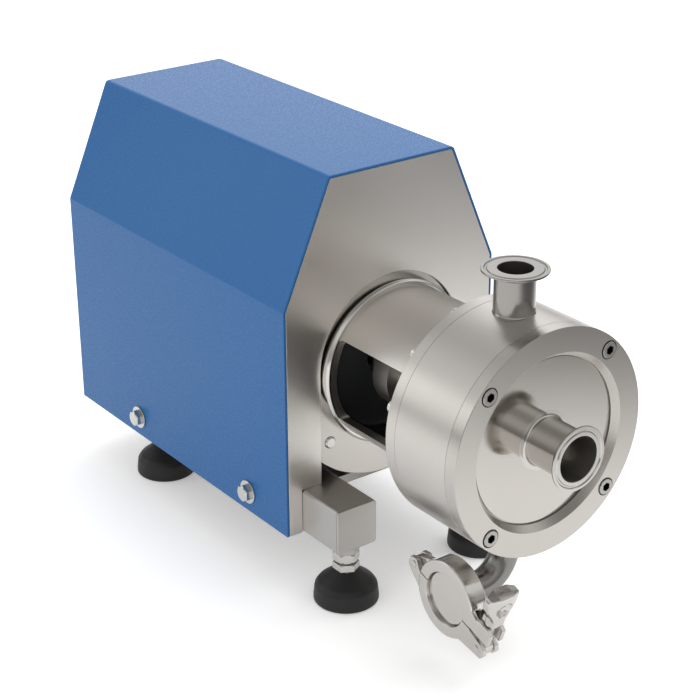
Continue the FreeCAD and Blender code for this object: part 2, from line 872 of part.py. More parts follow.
flange_bolts = []
for quarter in range(4):
    x, z = on_circle(d.flange_circle, 45 + 90 * quarter)
    tip = flange_front - 1.7
    shank = barrel(x, tip + 1, z, BACK, 5, flange_rear - tip - 1)
    end = cone(x, tip, z, BACK, 4, 5, 1)
    flange_bolts.append(fuse([end, shank, hex_bar(x, flange_rear, z, BACK, 16, 6.4)]))
group("flange_bolts", flange_bolts)

# Pump shaft and the ring that clamps it on the motor shaft

sleeve_radius = 19
shaft_radius = 15
turned("pump_shaft", "Y", [
    (14, 0),
    (14, 6),
    (24, 6),
    (24, 11),
    (36, 11),
    (36, shaft_radius),
    (138, shaft_radius),
    (138, sleeve_radius),
    (186, sleeve_radius),
    (186, d.motor_shaft_radius),
    (d.shaft_end_y - 1, d.motor_shaft_radius),
    (d.shaft_end_y - 1, 0),
])
ring_front = 152
ring_rear = 170
ring_radius = 31
ring = turned("shaft_clamp", "Y", rectangle(ring_front, sleeve_radius, ring_rear, ring_radius))
split = rectangle(-1.5, sleeve_radius - 2, 1.5, ring_radius + 2)
pocket(ring, "XZ_Plane", [split], ring_front - 2, ring_rear - ring_front + 4)
screw_hole = circle((ring_front + ring_rear) / 2, ring_radius - 5.5, 2.6)
pocket(ring, "YZ_Plane", [screw_hole], -ring_radius, 2 * ring_radius)

# Chamber

cavity_rear = 56
seal_plate_radius = 36
chamber = turned("chamber_body", "Y", [
    (d.cover_plate_thick, d.cavity_radius),
    (d.cover_plate_thick, d.chamber_radius),
    (d.body_rear_y, d.chamber_radius),
    (d.body_rear_y, seal_plate_radius),
    (cavity_rear, seal_plate_radius),
    (cavity_rear, d.cavity_radius),
])
neck_seat = 80
pocket(chamber, "XY_Plane", [circle(0, d.port_y, d.outlet_bore - 0.2)], 50, 60)
pocket(chamber, "XY_Plane", [circle(0, d.port_y, d.outlet_radius)], neck_seat, 30)
pocket(chamber, "XY_Plane", [circle(0, d.port_y, d.drain_bore)], -110, 60)
pocket(chamber, "XY_Plane", [circle(0, d.port_y, d.drain_radius)], -110, 110 - neck_seat)
groove_inner = 69.3
groove_outer = 72.7
groove_depth = 2.4
revolve(chamber, "Y", rectangle(
    d.cover_plate_thick, groove_inner, d.cover_plate_thick + groove_depth, groove_outer
), kind="Groove")
tapped = circle(*on_circle(d.cover_screw_circle, 45 + d.cover_screw_turn), 4.05)
hole = pocket(chamber, "XZ_Plane", [tapped], d.cover_plate_thick, 20)
repeat_round(chamber, [hole], "Y", 4)
tapped = circle(*on_circle(d.lantern_screw_circle, 15), 3.05)
hole = pocket(chamber, "XZ_Plane", [tapped], d.body_rear_y - 14, 14)
repeat_round(chamber, [hole], "Y", 12)

ring_middle = (groove_inner + groove_outer) / 2
turned("front_o_ring", "Y", rectangle(
    d.cover_plate_thick, ring_middle - 1.3, d.cover_plate_thick + groove_depth, ring_middle + 1.3
))

counterbore = 7
plate = turned("front_cover", "Y", [
    (0, d.recess_radius),
    (0, d.chamber_radius),
    (d.cover_plate_thick, d.chamber_radius),
    (d.cover_plate_thick, d.inlet_radius),
    (d.recess_depth, d.inlet_radius),
    (d.recess_depth, d.recess_floor_radius),
])
x, z = on_circle(d.cover_screw_circle, 45 + d.cover_screw_turn)
hole = pocket(plate, "XZ_Plane", [circle(x, z, 4.4)], -1, d.cover_plate_thick + 2)
recess = pocket(plate, "XZ_Plane", [circle(x, z, 7.2)], -1, counterbore + 1)
repeat_round(plate, [hole, recess], "Y", 4)

ring_of_screws(
    "cover_screws", 4, d.cover_screw_circle, 45 + d.cover_screw_turn,
    shank=(counterbore, 22, 4),
    head=(counterbore - 8, 8, 6.5),
    socket=(counterbore - 9, 5, 6),
)


def ferrule_end(face, towards, bore, neck):
    """Outline of a clamp ferrule from its sealing face to its neck, as (along, radius)"""
    taper = (d.ferrule_radius - neck) * TAPER
    return [
        (face, bore),
        (face, d.ferrule_radius),
        (face + towards * d.ferrule_rim, d.ferrule_radius),
        (face + towards * (d.ferrule_rim + taper), neck),
    ]


turned("inlet_ferrule", "Y", ferrule_end(d.inlet_face_y, 1, d.inlet_bore, d.inlet_radius) + [
    (d.cover_plate_thick, d.inlet_radius),
    (d.cover_plate_thick, d.inlet_bore),
])
outlet_profile = ferrule_end(d.outlet_top, -1, d.outlet_bore, d.outlet_radius) + [
    (neck_seat, d.outlet_radius),
    (neck_seat, d.outlet_bore),
]
turned("outlet_ferrule", "Z", [(radius, z) for z, radius in outlet_profile], y=d.port_y)

# Shearing head

head_rear = 34
teeth_front = 14
stator_inner = 51
stator_outer = 58
stator = turned("stator_ring", "Y", [
    (d.cover_plate_thick, stator_inner),
    (d.cover_plate_thick, stator_outer),
    (head_rear, stator_outer),
    (head_rear, stator_inner),
])
slot = pocket(stator, "XZ_Plane", [rectangle(-1.5, stator_inner - 3, 1.5, stator_outer + 3)], teeth_front + 1, 24)
repeat_round(stator, [slot], "Y", 36)

rotor_rim = stator_inner - 0.4
head = turned("rotor_head", "Y", [
    (24, 11),
    (24, 42),
    (teeth_front, 42),
    (teeth_front, rotor_rim),
    (32, rotor_rim),
    (36, 20),
    (36, 11),
])
slot = pocket(head, "XZ_Plane", [rectangle(-3, 40, 3, rotor_rim + 3)], teeth_front - 2, 12)
repeat_round(head, [slot], "Y", 12)

turned("rotor_nut", "Y", [(12, 0), (12, 6), (14, 9), (24, 11), (24, 6), (14, 6), (14, 0)])

# Mechanical seal and the plate that holds its seat

plate_rear = d.body_rear_y + 8
seat_radius = 24
turned("seal_plate", "Y", [
    (cavity_rear, seat_radius),
    (cavity_rear, seal_plate_radius),
    (d.body_rear_y, seal_plate_radius),
    (d.body_rear_y, 46),
    (plate_rear, 46),
    (plate_rear, shaft_radius + 2),
    (d.body_rear_y, shaft_radius + 2),
    (d.body_rear_y, seat_radius),
])
seal_face_y = 60
turned("seal_seat", "Y", [
    (seal_face_y, shaft_radius + 1),
    (seal_face_y, seat_radius),
    (d.body_rear_y, seat_radius),
    (d.body_rear_y, shaft_radius + 1),
])
turned("seal_ring", "Y", [(52, shaft_radius), (52, 22), (seal_face_y - 0.1, 20), (seal_face_y - 0.1, shaft_radius)])
turned("seal_bellows", "Y", [
    (38, shaft_radius),
    (38, 21),
    (41, 21),
    (43, 18.5),
    (45, 21),
    (47, 18.5),
    (49, 21),
    (52, 21),
    (52, shaft_radius),
])

# Drain: elbow, gasket, blind cap and the clamp round them

half_gasket = 1
elbow_top = -neck_seat
elbow_turn_z = d.drain_z + d.drain_bend
ferrule_face = d.drain_x + half_gasket
neck_length = ferrule_face + d.drain_bend


def elbow(radius, flange):
    """Solid elbow from the chamber down and round to the left, with a flange when asked"""
    bend = doc.addObject("Part::Torus", "bend")
    bind(bend, "Radius1", d.drain_bend)
    bind(bend, "Radius2", radius)
    bend.Angle3 = 90
    bend.Placement = FreeCAD.Placement(FreeCAD.Vector(), FreeCAD.Rotation(RIGHT, -90))
    bind(bend, "Placement.Base.x", -d.drain_bend)
    bind(bend, "Placement.Base.y", d.port_y)
    bind(bend, "Placement.Base.z", elbow_turn_z)
    pieces = [
        barrel(0, d.port_y, elbow_turn_z, UP, radius, elbow_top - elbow_turn_z),
        bend,
        barrel(ferrule_face, d.port_y, d.drain_z, RIGHT, radius, -neck_length),
    ]
    if flange:
        taper = (d.ferrule_radius - d.drain_radius) * TAPER
        pieces.append(barrel(ferrule_face, d.port_y, d.drain_z, RIGHT, d.ferrule_radius, d.ferrule_rim))
        slope_x = ferrule_face + d.ferrule_rim
        pieces.append(cone(slope_x, d.port_y, d.drain_z, RIGHT, d.ferrule_radius, d.drain_radius, taper))
    return fuse(pieces)


name_node("drain_elbow", cut(elbow(d.drain_radius, True), elbow(d.drain_bore, False)))

CLAMP_POINT = {"x": d.drain_x, "y": d.port_y, "z": d.drain_z, "turn": (RIGHT, d.clamp_tilt)}

turned("drain_gasket", "X", rectangle(-half_gasket, d.drain_bore, half_gasket, d.ferrule_radius), **CLAMP_POINT)
cap_taper = (d.ferrule_radius - d.clamp_opening) * TAPER
cap_back = -half_gasket - d.ferrule_rim - cap_taper
turned("drain_cap", "X", [
    (-half_gasket, 0),
    (-half_gasket, d.ferrule_radius),
    (-half_gasket - d.ferrule_rim, d.ferrule_radius),
    (cap_back, d.clamp_opening),
    (cap_back - 1.2, d.clamp_opening - 0.5),
    (cap_back - 1.2, 0),
], **CLAMP_POINT)

groove_wall = half_gasket + d.ferrule_rim
groove_radius = d.ferrule_radius + 0.35
groove_top = groove_wall - 0.35 * TAPER
clamp_outline = [
    (-d.clamp_width / 2, d.clamp_opening),
    (-d.clamp_width / 2, d.clamp_radius - 1),
    (1 - d.clamp_width / 2, d.clamp_radius),
    (d.clamp_width / 2 - 1, d.clamp_radius),
    (d.clamp_width / 2, d.clamp_radius - 1),
    (d.clamp_width / 2, d.clamp_opening),
    (groove_wall + cap_taper, d.clamp_opening),
    (groove_top, groove_radius),
    (-groove_top, groove_radius),
    (-groove_wall - cap_taper, d.clamp_opening),
]
parting = 0.5
slot_half = 4.3
lug_radius = 7
ear_root = -d.clamp_radius + 4
ear_end = d.swing_pin_y - 9.5


def clamp_half(label, side, ear, lug, leaves):
    """One half of the clamp: side is 1 above the parting plane and -1 below it"""
    body = turned(label, "X", clamp_outline, **CLAMP_POINT)
    reach = d.clamp_radius * 2
    other = rectangle(-reach, -side * reach, reach, side * parting)
    pocket(body, "YZ_Plane", [other], -reach / 2, reach)
    pad(body, "YZ_Plane", [ear], -d.clamp_width / 2, d.clamp_width)
    pocket(body, "YZ_Plane", [rectangle(ear_end - 5, -20, ear_root - 4, 20)], -slot_half, 2 * slot_half)
    for start, width in leaves:
        pad(body, "YZ_Plane", lug, start, width)
    return body


pin_hole = d.clamp_pin_radius + 0.05
lower_ear = [
    (ear_root, -parting),
    (ear_end + 7, -parting - 3),
    (ear_end + 2, -parting - 5),
    (ear_end, d.swing_pin_z),
    (ear_end + 3, d.swing_pin_z - 5.5),
    (ear_end + 9, d.swing_pin_z - 6),
    (ear_root + 4, -19),
]
leaf_width = 4.5
lug_root = 27
lower_lug = [[
    (lug_root, -parting),
    (d.clamp_radius + 1, -parting),
    (d.hinge_pin_y - 1, lug_radius - 1),
    (d.hinge_pin_y + 6, 3),
    (d.hinge_pin_y + 6, -4),
    (d.hinge_pin_y, -8),
    (lug_root, -15),
]]
lower = clamp_half("clamp_lower_half", -1, lower_ear, lower_lug, [
    (-d.clamp_width / 2, leaf_width),
    (d.clamp_width / 2 - leaf_width, leaf_width),
])
for y, z in ((d.swing_pin_y, d.swing_pin_z), (d.hinge_pin_y, 0)):
    pocket(lower, "YZ_Plane", [circle(y, z, d.clamp_pin_radius)], -20, 40)

seat_y = d.swing_pin_y
upper_ear = [
    (ear_root, parting),
    (ear_root, 16),
    (seat_y + 9, d.swing_pin_z + d.nut_seat - 3.5),
    (seat_y + 4, d.swing_pin_z + d.nut_seat - 0.8),
    (seat_y - 4, d.swing_pin_z + d.nut_seat - 0.8),
    (seat_y - 9, d.swing_pin_z + d.nut_seat - 3.5),
    (seat_y - 9, parting),
]
upper_lug = [[
    (lug_root, parting),
    (lug_root, 14),
    (d.hinge_pin_y, 6),
    (d.hinge_pin_y + 5, 2),
    (d.hinge_pin_y + 5, -3),
    (d.hinge_pin_y, -5),
    (d.clamp_radius + 2, parting),
]]
leaf_gap = 0.3
upper = clamp_half("clamp_upper_half", 1, upper_ear, upper_lug, [
    (leaf_width + leaf_gap - d.clamp_width / 2, d.clamp_width - 2 * leaf_width - 2 * leaf_gap),
])
pocket(upper, "YZ_Plane", [circle(d.hinge_pin_y, 0, pin_hole)], -20, 40)

pins = new_body("clamp_pins", **CLAMP_POINT)
pin_length = d.clamp_width + 1.6
pin_circles = [
    circle(d.swing_pin_y, d.swing_pin_z, d.clamp_pin_radius),
    circle(d.hinge_pin_y, 0, d.clamp_pin_radius),
]
pad(pins, "YZ_Plane", pin_circles, -pin_length / 2, pin_length)

bolt_radius = 4
eye_width = 8.3
bolt = new_body("swing_bolt", **CLAMP_POINT)
eye = [circle(d.swing_pin_y, d.swing_pin_z, 7)]
pad(bolt, "YZ_Plane", eye, -eye_width / 2, eye_width)
pad(bolt, "XY_Plane", [circle(0, d.swing_pin_y, bolt_radius)], d.swing_pin_z + 3.5, d.nut_seat + 19.5)
pocket(bolt, "YZ_Plane", [circle(d.swing_pin_y, d.swing_pin_z, pin_hole)], -20, 40)

nut_low = d.swing_pin_z + d.nut_seat
wing = new_body("wing_nut", **CLAMP_POINT)
pad(wing, "XY_Plane", [circle(0, d.swing_pin_y, 7)], nut_low, 12)
wing_side = [(5, 3), (8, 9), (15, 22), (18, 31), (17, 34)]
fan_shape = [(-x, z) for x, z in wing_side[::-1]] + wing_side
wing_outline = [(sized(x), nut_low + z) for x, z in fan_shape]
wing_thick = 9
pad(wing, "XZ_Plane", [wing_outline], d.swing_pin_y - wing_thick / 2, wing_thick)
dish_radius = 16
dish_reach = wing_thick / 2 + dish_radius - 2.5
for side in (-1, 1):
    pocket(wing, "YZ_Plane", [circle(d.swing_pin_y + side * dish_reach, nut_low + 22, dish_radius)], -9, 18)
pocket(wing, "XY_Plane", [circle(0, d.swing_pin_y, bolt_radius + 0.05)], nut_low - 5, 60)

# Check every object, then write each sub-part to its own file

doc.recompute()
for item in doc.Objects:
    if "Invalid" in item.State or "Error" in item.State:
        raise RuntimeError(f"{item.Label}: {item.State}")
    if hasattr(item, "Shape") and item.TypeId.startswith(("Part::", "PartDesign::Body")):
        if item.Shape.isNull() or not item.Shape.isValid():
            raise RuntimeError(f"{item.Label}: bad shape")

os.makedirs("parts", exist_ok=True)
for label, item in nodes.items():
    item.Shape.exportStep(f"parts/{label}.step")
    box_size = item.Shape.BoundBox
    print(label, len(item.Shape.Solids), round(item.Shape.Volume), *(
        round(value, 1) for value in (
            box_size.XMin, box_size.XMax, box_size.YMin, box_size.YMax, box_size.ZMin, box_size.ZMax
        )
    ))
print(len(nodes), "sub-parts")
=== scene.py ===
import json
import math

import bpy
import numpy as np
from mathutils import Matrix, Vector


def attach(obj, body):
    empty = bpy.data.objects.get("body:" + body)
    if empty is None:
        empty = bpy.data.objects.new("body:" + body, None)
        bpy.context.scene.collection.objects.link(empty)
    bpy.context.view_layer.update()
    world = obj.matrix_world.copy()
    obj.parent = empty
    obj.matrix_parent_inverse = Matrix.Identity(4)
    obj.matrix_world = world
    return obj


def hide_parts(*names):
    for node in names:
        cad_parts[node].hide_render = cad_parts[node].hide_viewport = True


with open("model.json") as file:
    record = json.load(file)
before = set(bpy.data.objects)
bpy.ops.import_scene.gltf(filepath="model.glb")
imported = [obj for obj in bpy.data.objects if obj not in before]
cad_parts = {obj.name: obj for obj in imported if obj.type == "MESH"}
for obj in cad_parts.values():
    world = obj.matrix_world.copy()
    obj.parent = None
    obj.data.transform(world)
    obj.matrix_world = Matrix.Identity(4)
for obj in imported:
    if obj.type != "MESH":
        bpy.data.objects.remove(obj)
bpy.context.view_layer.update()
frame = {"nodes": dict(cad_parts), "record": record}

# Sizes in millimetres, measured from the chamber's front face on the shaft axis:
# x to the right seen from the front, y backwards and z up.
FACE_Y = -258.0
AXIS_HEIGHT = 180.0
MM = 0.001

COVER_WIDTH = 208.0
COVER_TOP_WIDTH = 121.0
COVER_TOP = 166.0
COVER_SHOULDER = 66.0
COVER_BOTTOM = -128.0
COVER_FRONT = 186.0
COVER_REAR = 516.0
SHEET = 2.0
RAIL_X = 70.0
RAIL_HALF = 19.0
RAIL_TOP = -90.0
RAIL_BOTTOM = -128.0
RAIL_FRONT = 139.0
RAIL_REAR = 508.0
FLOOR = -180.0
THROAT = 70.0
THROAT_RISE = 4.5
FOOT_ENDS = {"front": 154.0, "rear": 429.0}
FEET = {
    f"{end}_{name}": (side * RAIL_X, y)
    for end, y in FOOT_ENDS.items() for side, name in ((-1, "left"), (1, "right"))
}
SIDE_BOLTS = [(side, y) for side in (-1, 1) for y in (241, 413)]
SIDE_BOLT_Z = -110.0
PORT_Y = 43.7
DRAIN_X = -52.0
DRAIN_Z = -131.0
CLAMP_TILT = math.radians(20)
SWING_Y = -42.7
SWING_Z = -10.1
HINGE_Y = 39.6
NUT_SEAT = 25.5
NUT_EYE = 20.5
NUT_THICK = 13.6
RECESS_RADIUS = 65.6
SCREW_CIRCLE = 81.0
SCREW_START = 47.5
REAR_SCREW_CIRCLE = 82.0
FLANGE_CIRCLE = 82.5
NOTCH_GAP = 0.2
END_CAP = 2.0
TAPER = math.tan(math.radians(20))
ROUND = 192


# Geometry

def soften(corners, radius=0.0, closed=True, steps=4):
    """Outline with its corners turned into arcs.

    Each corner is (a, b) or (a, b, radius). The arc touches both edges: it starts and ends
    at radius / tan(half the corner's angle) from the corner, no more than 0.45 of an edge.
    """
    made = []
    count = len(corners)
    for number, corner in enumerate(corners):
        here = np.array(corner[:2], float)
        wanted = corner[2] if len(corner) > 2 else radius
        if not closed and number in (0, count - 1):
            made.append(here)
            continue
        before = np.array(corners[number - 1][:2], float) - here
        after = np.array(corners[(number + 1) % count][:2], float) - here
        long_before = np.hypot(*before)
        long_after = np.hypot(*after)
        before = before / long_before
        after = after / long_after
        half = math.acos(max(-1.0, min(1.0, float(before @ after)))) / 2
        if wanted <= 0 or half > math.radians(87) or half < math.radians(2):
            made.append(here)
            continue
        reach = min(wanted / math.tan(half), 0.45 * min(long_before, long_after))
        bend = reach * math.tan(half)
        middle = before + after
        middle = middle / np.hypot(*middle)
        centre = here + middle * bend / math.sin(half)
        start = here + before * reach - centre
        end = here + after * reach - centre
        first = math.atan2(start[1], start[0])
        sweep = math.atan2(end[1], end[0]) - first
        sweep = (sweep + math.pi) % (2 * math.pi) - math.pi
        for step in range(steps + 1):
            angle = first + sweep * step / steps
            made.append(centre + bend * np.array((math.cos(angle), math.sin(angle))))
    return np.array(made)


def arc(centre, radius, first, last, steps):
    """Points on a circle between two angles in degrees"""
    angles = np.radians(np.linspace(first, last, steps + 1))
    return [(centre[0] + radius * math.cos(a), centre[1] + radius * math.sin(a)) for a in angles]


def still(points):
    """Local points are already measured from the drawing point"""
    return points


def moved(x, y, z):
    """Placement that only shifts"""
    return lambda points: points + np.array((x, y, z))


def on_clamp(points):
    """Placement of the clamp's own axes: tilted about x, then moved to the drain's end"""
    x, y, z = points[:, 0], points[:, 1], points[:, 2]
    tilted = np.stack((
        x,
        math.cos(CLAMP_TILT) * y - math.sin(CLAMP_TILT) * z,
        math.sin(CLAMP_TILT) * y + math.cos(CLAMP_TILT) * z,
    ), 1)
    return tilted + np.array((DRAIN_X, PORT_Y, DRAIN_Z))


def along_axis(axis, along, first, second):
    """Coordinates from a distance along an axis and two across it"""
    if axis == "X":
        return np.stack((along, first, second), -1)
    if axis == "Y":
        return np.stack((first, along, second), -1)
    return np.stack((first, second, along), -1)


def in_metres(points):
    """Millimetres from the drawing point, turned into metres in the shared frame"""
    return (points + np.array((0.0, FACE_Y, AXIS_HEIGHT))) * MM


def outwards(points, faces):
    """Faces of a closed surface, all turned so that their normals point outwards"""
    volume = sum(
        float(np.dot(points[face[0]], np.cross(points[a], points[b])))
        for face in faces for a, b in zip(face[1:-1], face[2:])
    )
    return [tuple(face) if volume > 0 else tuple(reversed(face)) for face in faces]


def add_piece(name, points, faces, material, node, place=still, body="machine", sharp=32):
    """A mesh object in metres, its normals outwards, that rides on a body and stands for nodes"""
    points = in_metres(place(np.asarray(points, float)))
    mesh = bpy.data.meshes.new(name)
    mesh.from_pydata([tuple(point) for point in points], [], outwards(points, faces))
    mesh.validate()
    mesh.materials.append(material.data)
    piece = bpy.data.objects.new(name, mesh)
    bpy.context.scene.collection.objects.link(piece)
    shade(piece, sharp)
    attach(piece, body)
    for one in [node] if isinstance(node, str) else (node or []):
        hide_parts(one)
    return piece


def shade(piece, sharp=32, flat_axis=None):
    """Smooth shading whose normals follow the larger faces. Faces square to the flat axis stay flat."""
    mesh = piece.data
    mesh.set_sharp_from_angle(angle=math.radians(sharp))
    smooth = [flat_axis is None or abs(face.normal[flat_axis]) < 0.9999 for face in mesh.polygons]
    mesh.polygons.foreach_set("use_smooth", smooth)
    modifier = piece.modifiers.new("normals", "WEIGHTED_NORMAL")
    modifier.keep_sharp = True
    bpy.context.view_layer.objects.active = piece
    bpy.ops.object.modifier_apply(modifier=modifier.name)


def grid_faces(rows, columns, first=0, close_rows=False, close_columns=True):
    """Four-sided faces between the points of a grid"""
    faces = []
    for row in range(rows if close_rows else rows - 1):
        lower = first + row * columns
        upper = first + (row + 1) % rows * columns
        for column in range(columns if close_columns else columns - 1):
            after = (column + 1) % columns
            faces.append((lower + column, lower + after, upper + after, upper + column))
    return faces


def spin(outline, axis, radii=None, steps=ROUND, across=(0.0, 0.0)):
    """Surface of revolution: point (s, angle) is outline(s) turned by the angle round the axis.

    With radii the radius is a function of the outline's point and the angle, as for a hexagon.
    An outline that starts and ends on the axis closes there; any other one closes on itself.
    """
    angles = np.linspace(0, 2 * math.pi, steps, endpoint=False)
    along = np.repeat(outline[:, :1], steps, 1)
    radius = np.repeat(outline[:, 1:2], steps, 1)
    if radii is not None:
        radius = radii(outline, angles)
    points = along_axis(
        axis, along, across[0] + radius * np.cos(angles), across[1] + radius * np.sin(angles)
    ).reshape(-1, 3)
    rows = len(outline)
    poles = outline[0, 1] < 1e-6 and outline[-1, 1] < 1e-6
    if not poles:
        return points, grid_faces(rows, steps, close_rows=True)
    inner = points[steps:-steps]
    ends = np.stack((points[0], points[-1]))
    faces = grid_faces(rows - 2, steps)
    low = len(inner)
    top = (rows - 3) * steps
    for column in range(steps):
        after = (column + 1) % steps
        faces.append((low, after, column))
        faces.append((low + 1, top + column, top + after))
    return np.concatenate((inner, ends)), faces


def turned(name, corners, material, node=None, axis="Y", edge=0.4, across=(0.0, 0.0), **rest):
    """Turned piece: its outline of (along, radius) corners, rounded at every edge, spun round"""
    return add_piece(name, *spin(soften_profile(corners, edge), axis, across=across), material, node, **rest)


def soften_profile(corners, edge):
    """Rounded outline for turning, open where it starts and ends on the axis"""
    on_axis = corners[0][1] == 0 and corners[-1][1] == 0
    return soften(corners, edge, closed=not on_axis)


def hexagon_radius(flats, angles):
    """Distance from the middle of a hexagon to its side at each angle"""
    sector = math.pi / 3
    return flats / 2 / np.cos((angles + sector / 2) % sector - sector / 2)


def hex_profile(flats):
    """Radius of a hexagonal bar with turned ends: the smaller of the hexagon and the outline"""
    def radii(outline, angles):
        sides = hexagon_radius(flats, angles)
        return np.minimum(outline[:, 1:2], sides[None, :])
    return radii


def joined(parts):
    """Several closed surfaces as one list of points and faces"""
    points = []
    faces = []
    offset = 0
    for part_points, part_faces in parts:
        points.append(part_points)
        faces.extend(tuple(index + offset for index in face) for face in part_faces)
        offset += len(part_points)
    return np.concatenate(points), faces


def inset(outline, distance):
    """Closed outline moved inwards by a small distance along each corner's bisector"""
    before = outline - np.roll(outline, 1, 0)
    after = np.roll(outline, -1, 0) - outline
    before = before / np.maximum(np.hypot(before[:, 0], before[:, 1]), 1e-9)[:, None]
    after = after / np.maximum(np.hypot(after[:, 0], after[:, 1]), 1e-9)[:, None]
    normal = np.stack((-(before + after)[:, 1], (before + after)[:, 0]), 1)
    normal = normal / np.maximum(np.hypot(normal[:, 0], normal[:, 1]), 1e-9)[:, None]
    cosine = np.clip((normal * np.stack((-before[:, 1], before[:, 0]), 1)).sum(1), 0.4, 1)
    area = outline[:, 0] * np.roll(outline[:, 1], -1) - np.roll(outline[:, 0], -1) * outline[:, 1]
    way = 1 if area.sum() > 0 else -1
    return outline + normal * (distance / cosine)[:, None] * way


def extrude(outline, axis, low, high, edge=0.4, steps=3, strip=False):
    """Solid between two levels: ring (s, level) is the outline, drawn in near both ends
    by edge * (1 - sin(t)) while the level runs through edge * (1 - cos(t)), a quarter circle.
    A strip runs out along one side and back along the other, and its ends are closed across.
    """
    outline = np.asarray(outline, float)
    quarter = [math.pi / 2 * step / steps for step in range(steps + 1)] if edge else [math.pi / 2]
    levels = []
    for t in quarter:
        levels.append((low + edge * (1 - math.cos(t)), edge * (1 - math.sin(t))))
    for t in reversed(quarter):
        levels.append((high - edge * (1 - math.cos(t)), edge * (1 - math.sin(t))))
    points = []
    for level, drawn in levels:
        ring = inset(outline, drawn) if drawn else outline
        points.append(along_axis(axis, np.full(len(ring), level), ring[:, 0], ring[:, 1]))
    count = len(outline)
    faces = grid_faces(len(levels), count)
    top = (len(levels) - 1) * count
    ends = [tuple(range(count))]
    if strip:
        ends = [(step, step + 1, count - 2 - step, count - 1 - step) for step in range(count // 2 - 1)]
    for end in ends:
        faces.append(tuple(reversed(end)))
        faces.append(tuple(top + index for index in end))
    return np.concatenate(points), faces


def cut_out(piece, cutters):
    """Take closed cutter surfaces out of a piece for good. Its faces across the shaft stay flat."""
    for points, faces in cutters:
        points = in_metres(np.asarray(points))
        mesh = bpy.data.meshes.new("cutter")
        mesh.from_pydata([tuple(point) for point in points], [], outwards(points, faces))
        cutter = bpy.data.objects.new("cutter", mesh)
        bpy.context.scene.collection.objects.link(cutter)
        modifier = piece.modifiers.new("cut", "BOOLEAN")
        modifier.operation = "DIFFERENCE"
        modifier.solver = "EXACT"
        modifier.object = cutter
        bpy.context.view_layer.objects.active = piece
        bpy.ops.object.modifier_apply(modifier=modifier.name)
        bpy.data.objects.remove(cutter)
        bpy.data.meshes.remove(mesh)
    shade(piece, flat_axis=1)


# Materials

class Socket:
    """A node's output that takes part in ordinary sums"""

    def __init__(self, paint, output):
        self.paint = paint
        self.output = output

    def sum(self, operation, *values):
        return self.paint.node("ShaderNodeMath", {"operation": operation}, list(values))

    def __add__(self, other):
        return self.sum("ADD", self, other)

    def __radd__(self, other):
        return self.sum("ADD", other, self)

    def __sub__(self, other):
        return self.sum("SUBTRACT", self, other)

    def __rsub__(self, other):
        return self.sum("SUBTRACT", other, self)

    def __mul__(self, other):
        return self.sum("MULTIPLY", self, other)

    def __rmul__(self, other):
        return self.sum("MULTIPLY", other, self)

    def __truediv__(self, other):
        return self.sum("DIVIDE", self, other)

    def __rtruediv__(self, other):
        return self.sum("DIVIDE", other, self)

    def __pow__(self, other):
        return self.sum("POWER", self, other)

    def clamped(self):
        return self.sum("MINIMUM", self.sum("MAXIMUM", self, 0.0), 1.0)


class Paint:
    """A node material for one of the record's slots"""

    def __init__(self, name, slot, **constants):
        self.slot = slot
        self.data = bpy.data.materials.new(name)
        self.data.use_nodes = True
        self.tree = self.data.node_tree
        self.shader = self.tree.nodes["Principled BSDF"]
        for key, value in constants.items():
            self.shader.inputs[key.replace("_", " ")].default_value = value

    def node(self, kind, settings=None, inputs=(), output=0):
        made = self.tree.nodes.new(kind)
        for key, value in (settings or {}).items():
            setattr(made, key, value)
        pairs = inputs.items() if isinstance(inputs, dict) else enumerate(inputs)
        for key, value in pairs:
            if isinstance(value, Socket):
                self.tree.links.new(value.output, made.inputs[key])
            else:
                made.inputs[key].default_value = value
        return Socket(self, made.outputs[output])

    def place(self):
        """Object coordinates in metres"""
        return self.node("ShaderNodeTexCoord", output="Object")

    def parts(self):
        """The three object coordinates, one by one"""
        split = self.tree.nodes.new("ShaderNodeSeparateXYZ")
        self.tree.links.new(self.place().output, split.inputs[0])
        return [Socket(self, split.outputs[letter]) for letter in "XYZ"]

    def stretched(self, x, y, z):
        """Object coordinates scaled along each axis"""
        return self.node("ShaderNodeVectorMath", {"operation": "MULTIPLY"}, {0: self.place(), 1: (x, y, z)})

    def noise(self, vector, scale, detail=2.0, roughness=0.5):
        return self.node("ShaderNodeTexNoise", {}, {
            "Vector": vector, "Scale": scale, "Detail": detail, "Roughness": roughness,
        }, "Fac")

    def mix(self, factor, first, second):
        made = self.tree.nodes.new("ShaderNodeMix")
        made.data_type = "RGBA"
        for index, value in ((0, factor), (6, first), (7, second)):
            if isinstance(value, Socket):
                self.tree.links.new(value.output, made.inputs[index])
            else:
                made.inputs[index].default_value = value
        return Socket(self, made.outputs[2])

    def bump(self, height, distance, strength=1.0):
        return self.node("ShaderNodeBump", {}, {
            "Strength": strength, "Distance": distance, "Height": height,
        }, "Normal")

    def feed(self, **inputs):
        for key, value in inputs.items():
            self.tree.links.new(value.output, self.shader.inputs[key.replace("_", " ")])
        return self


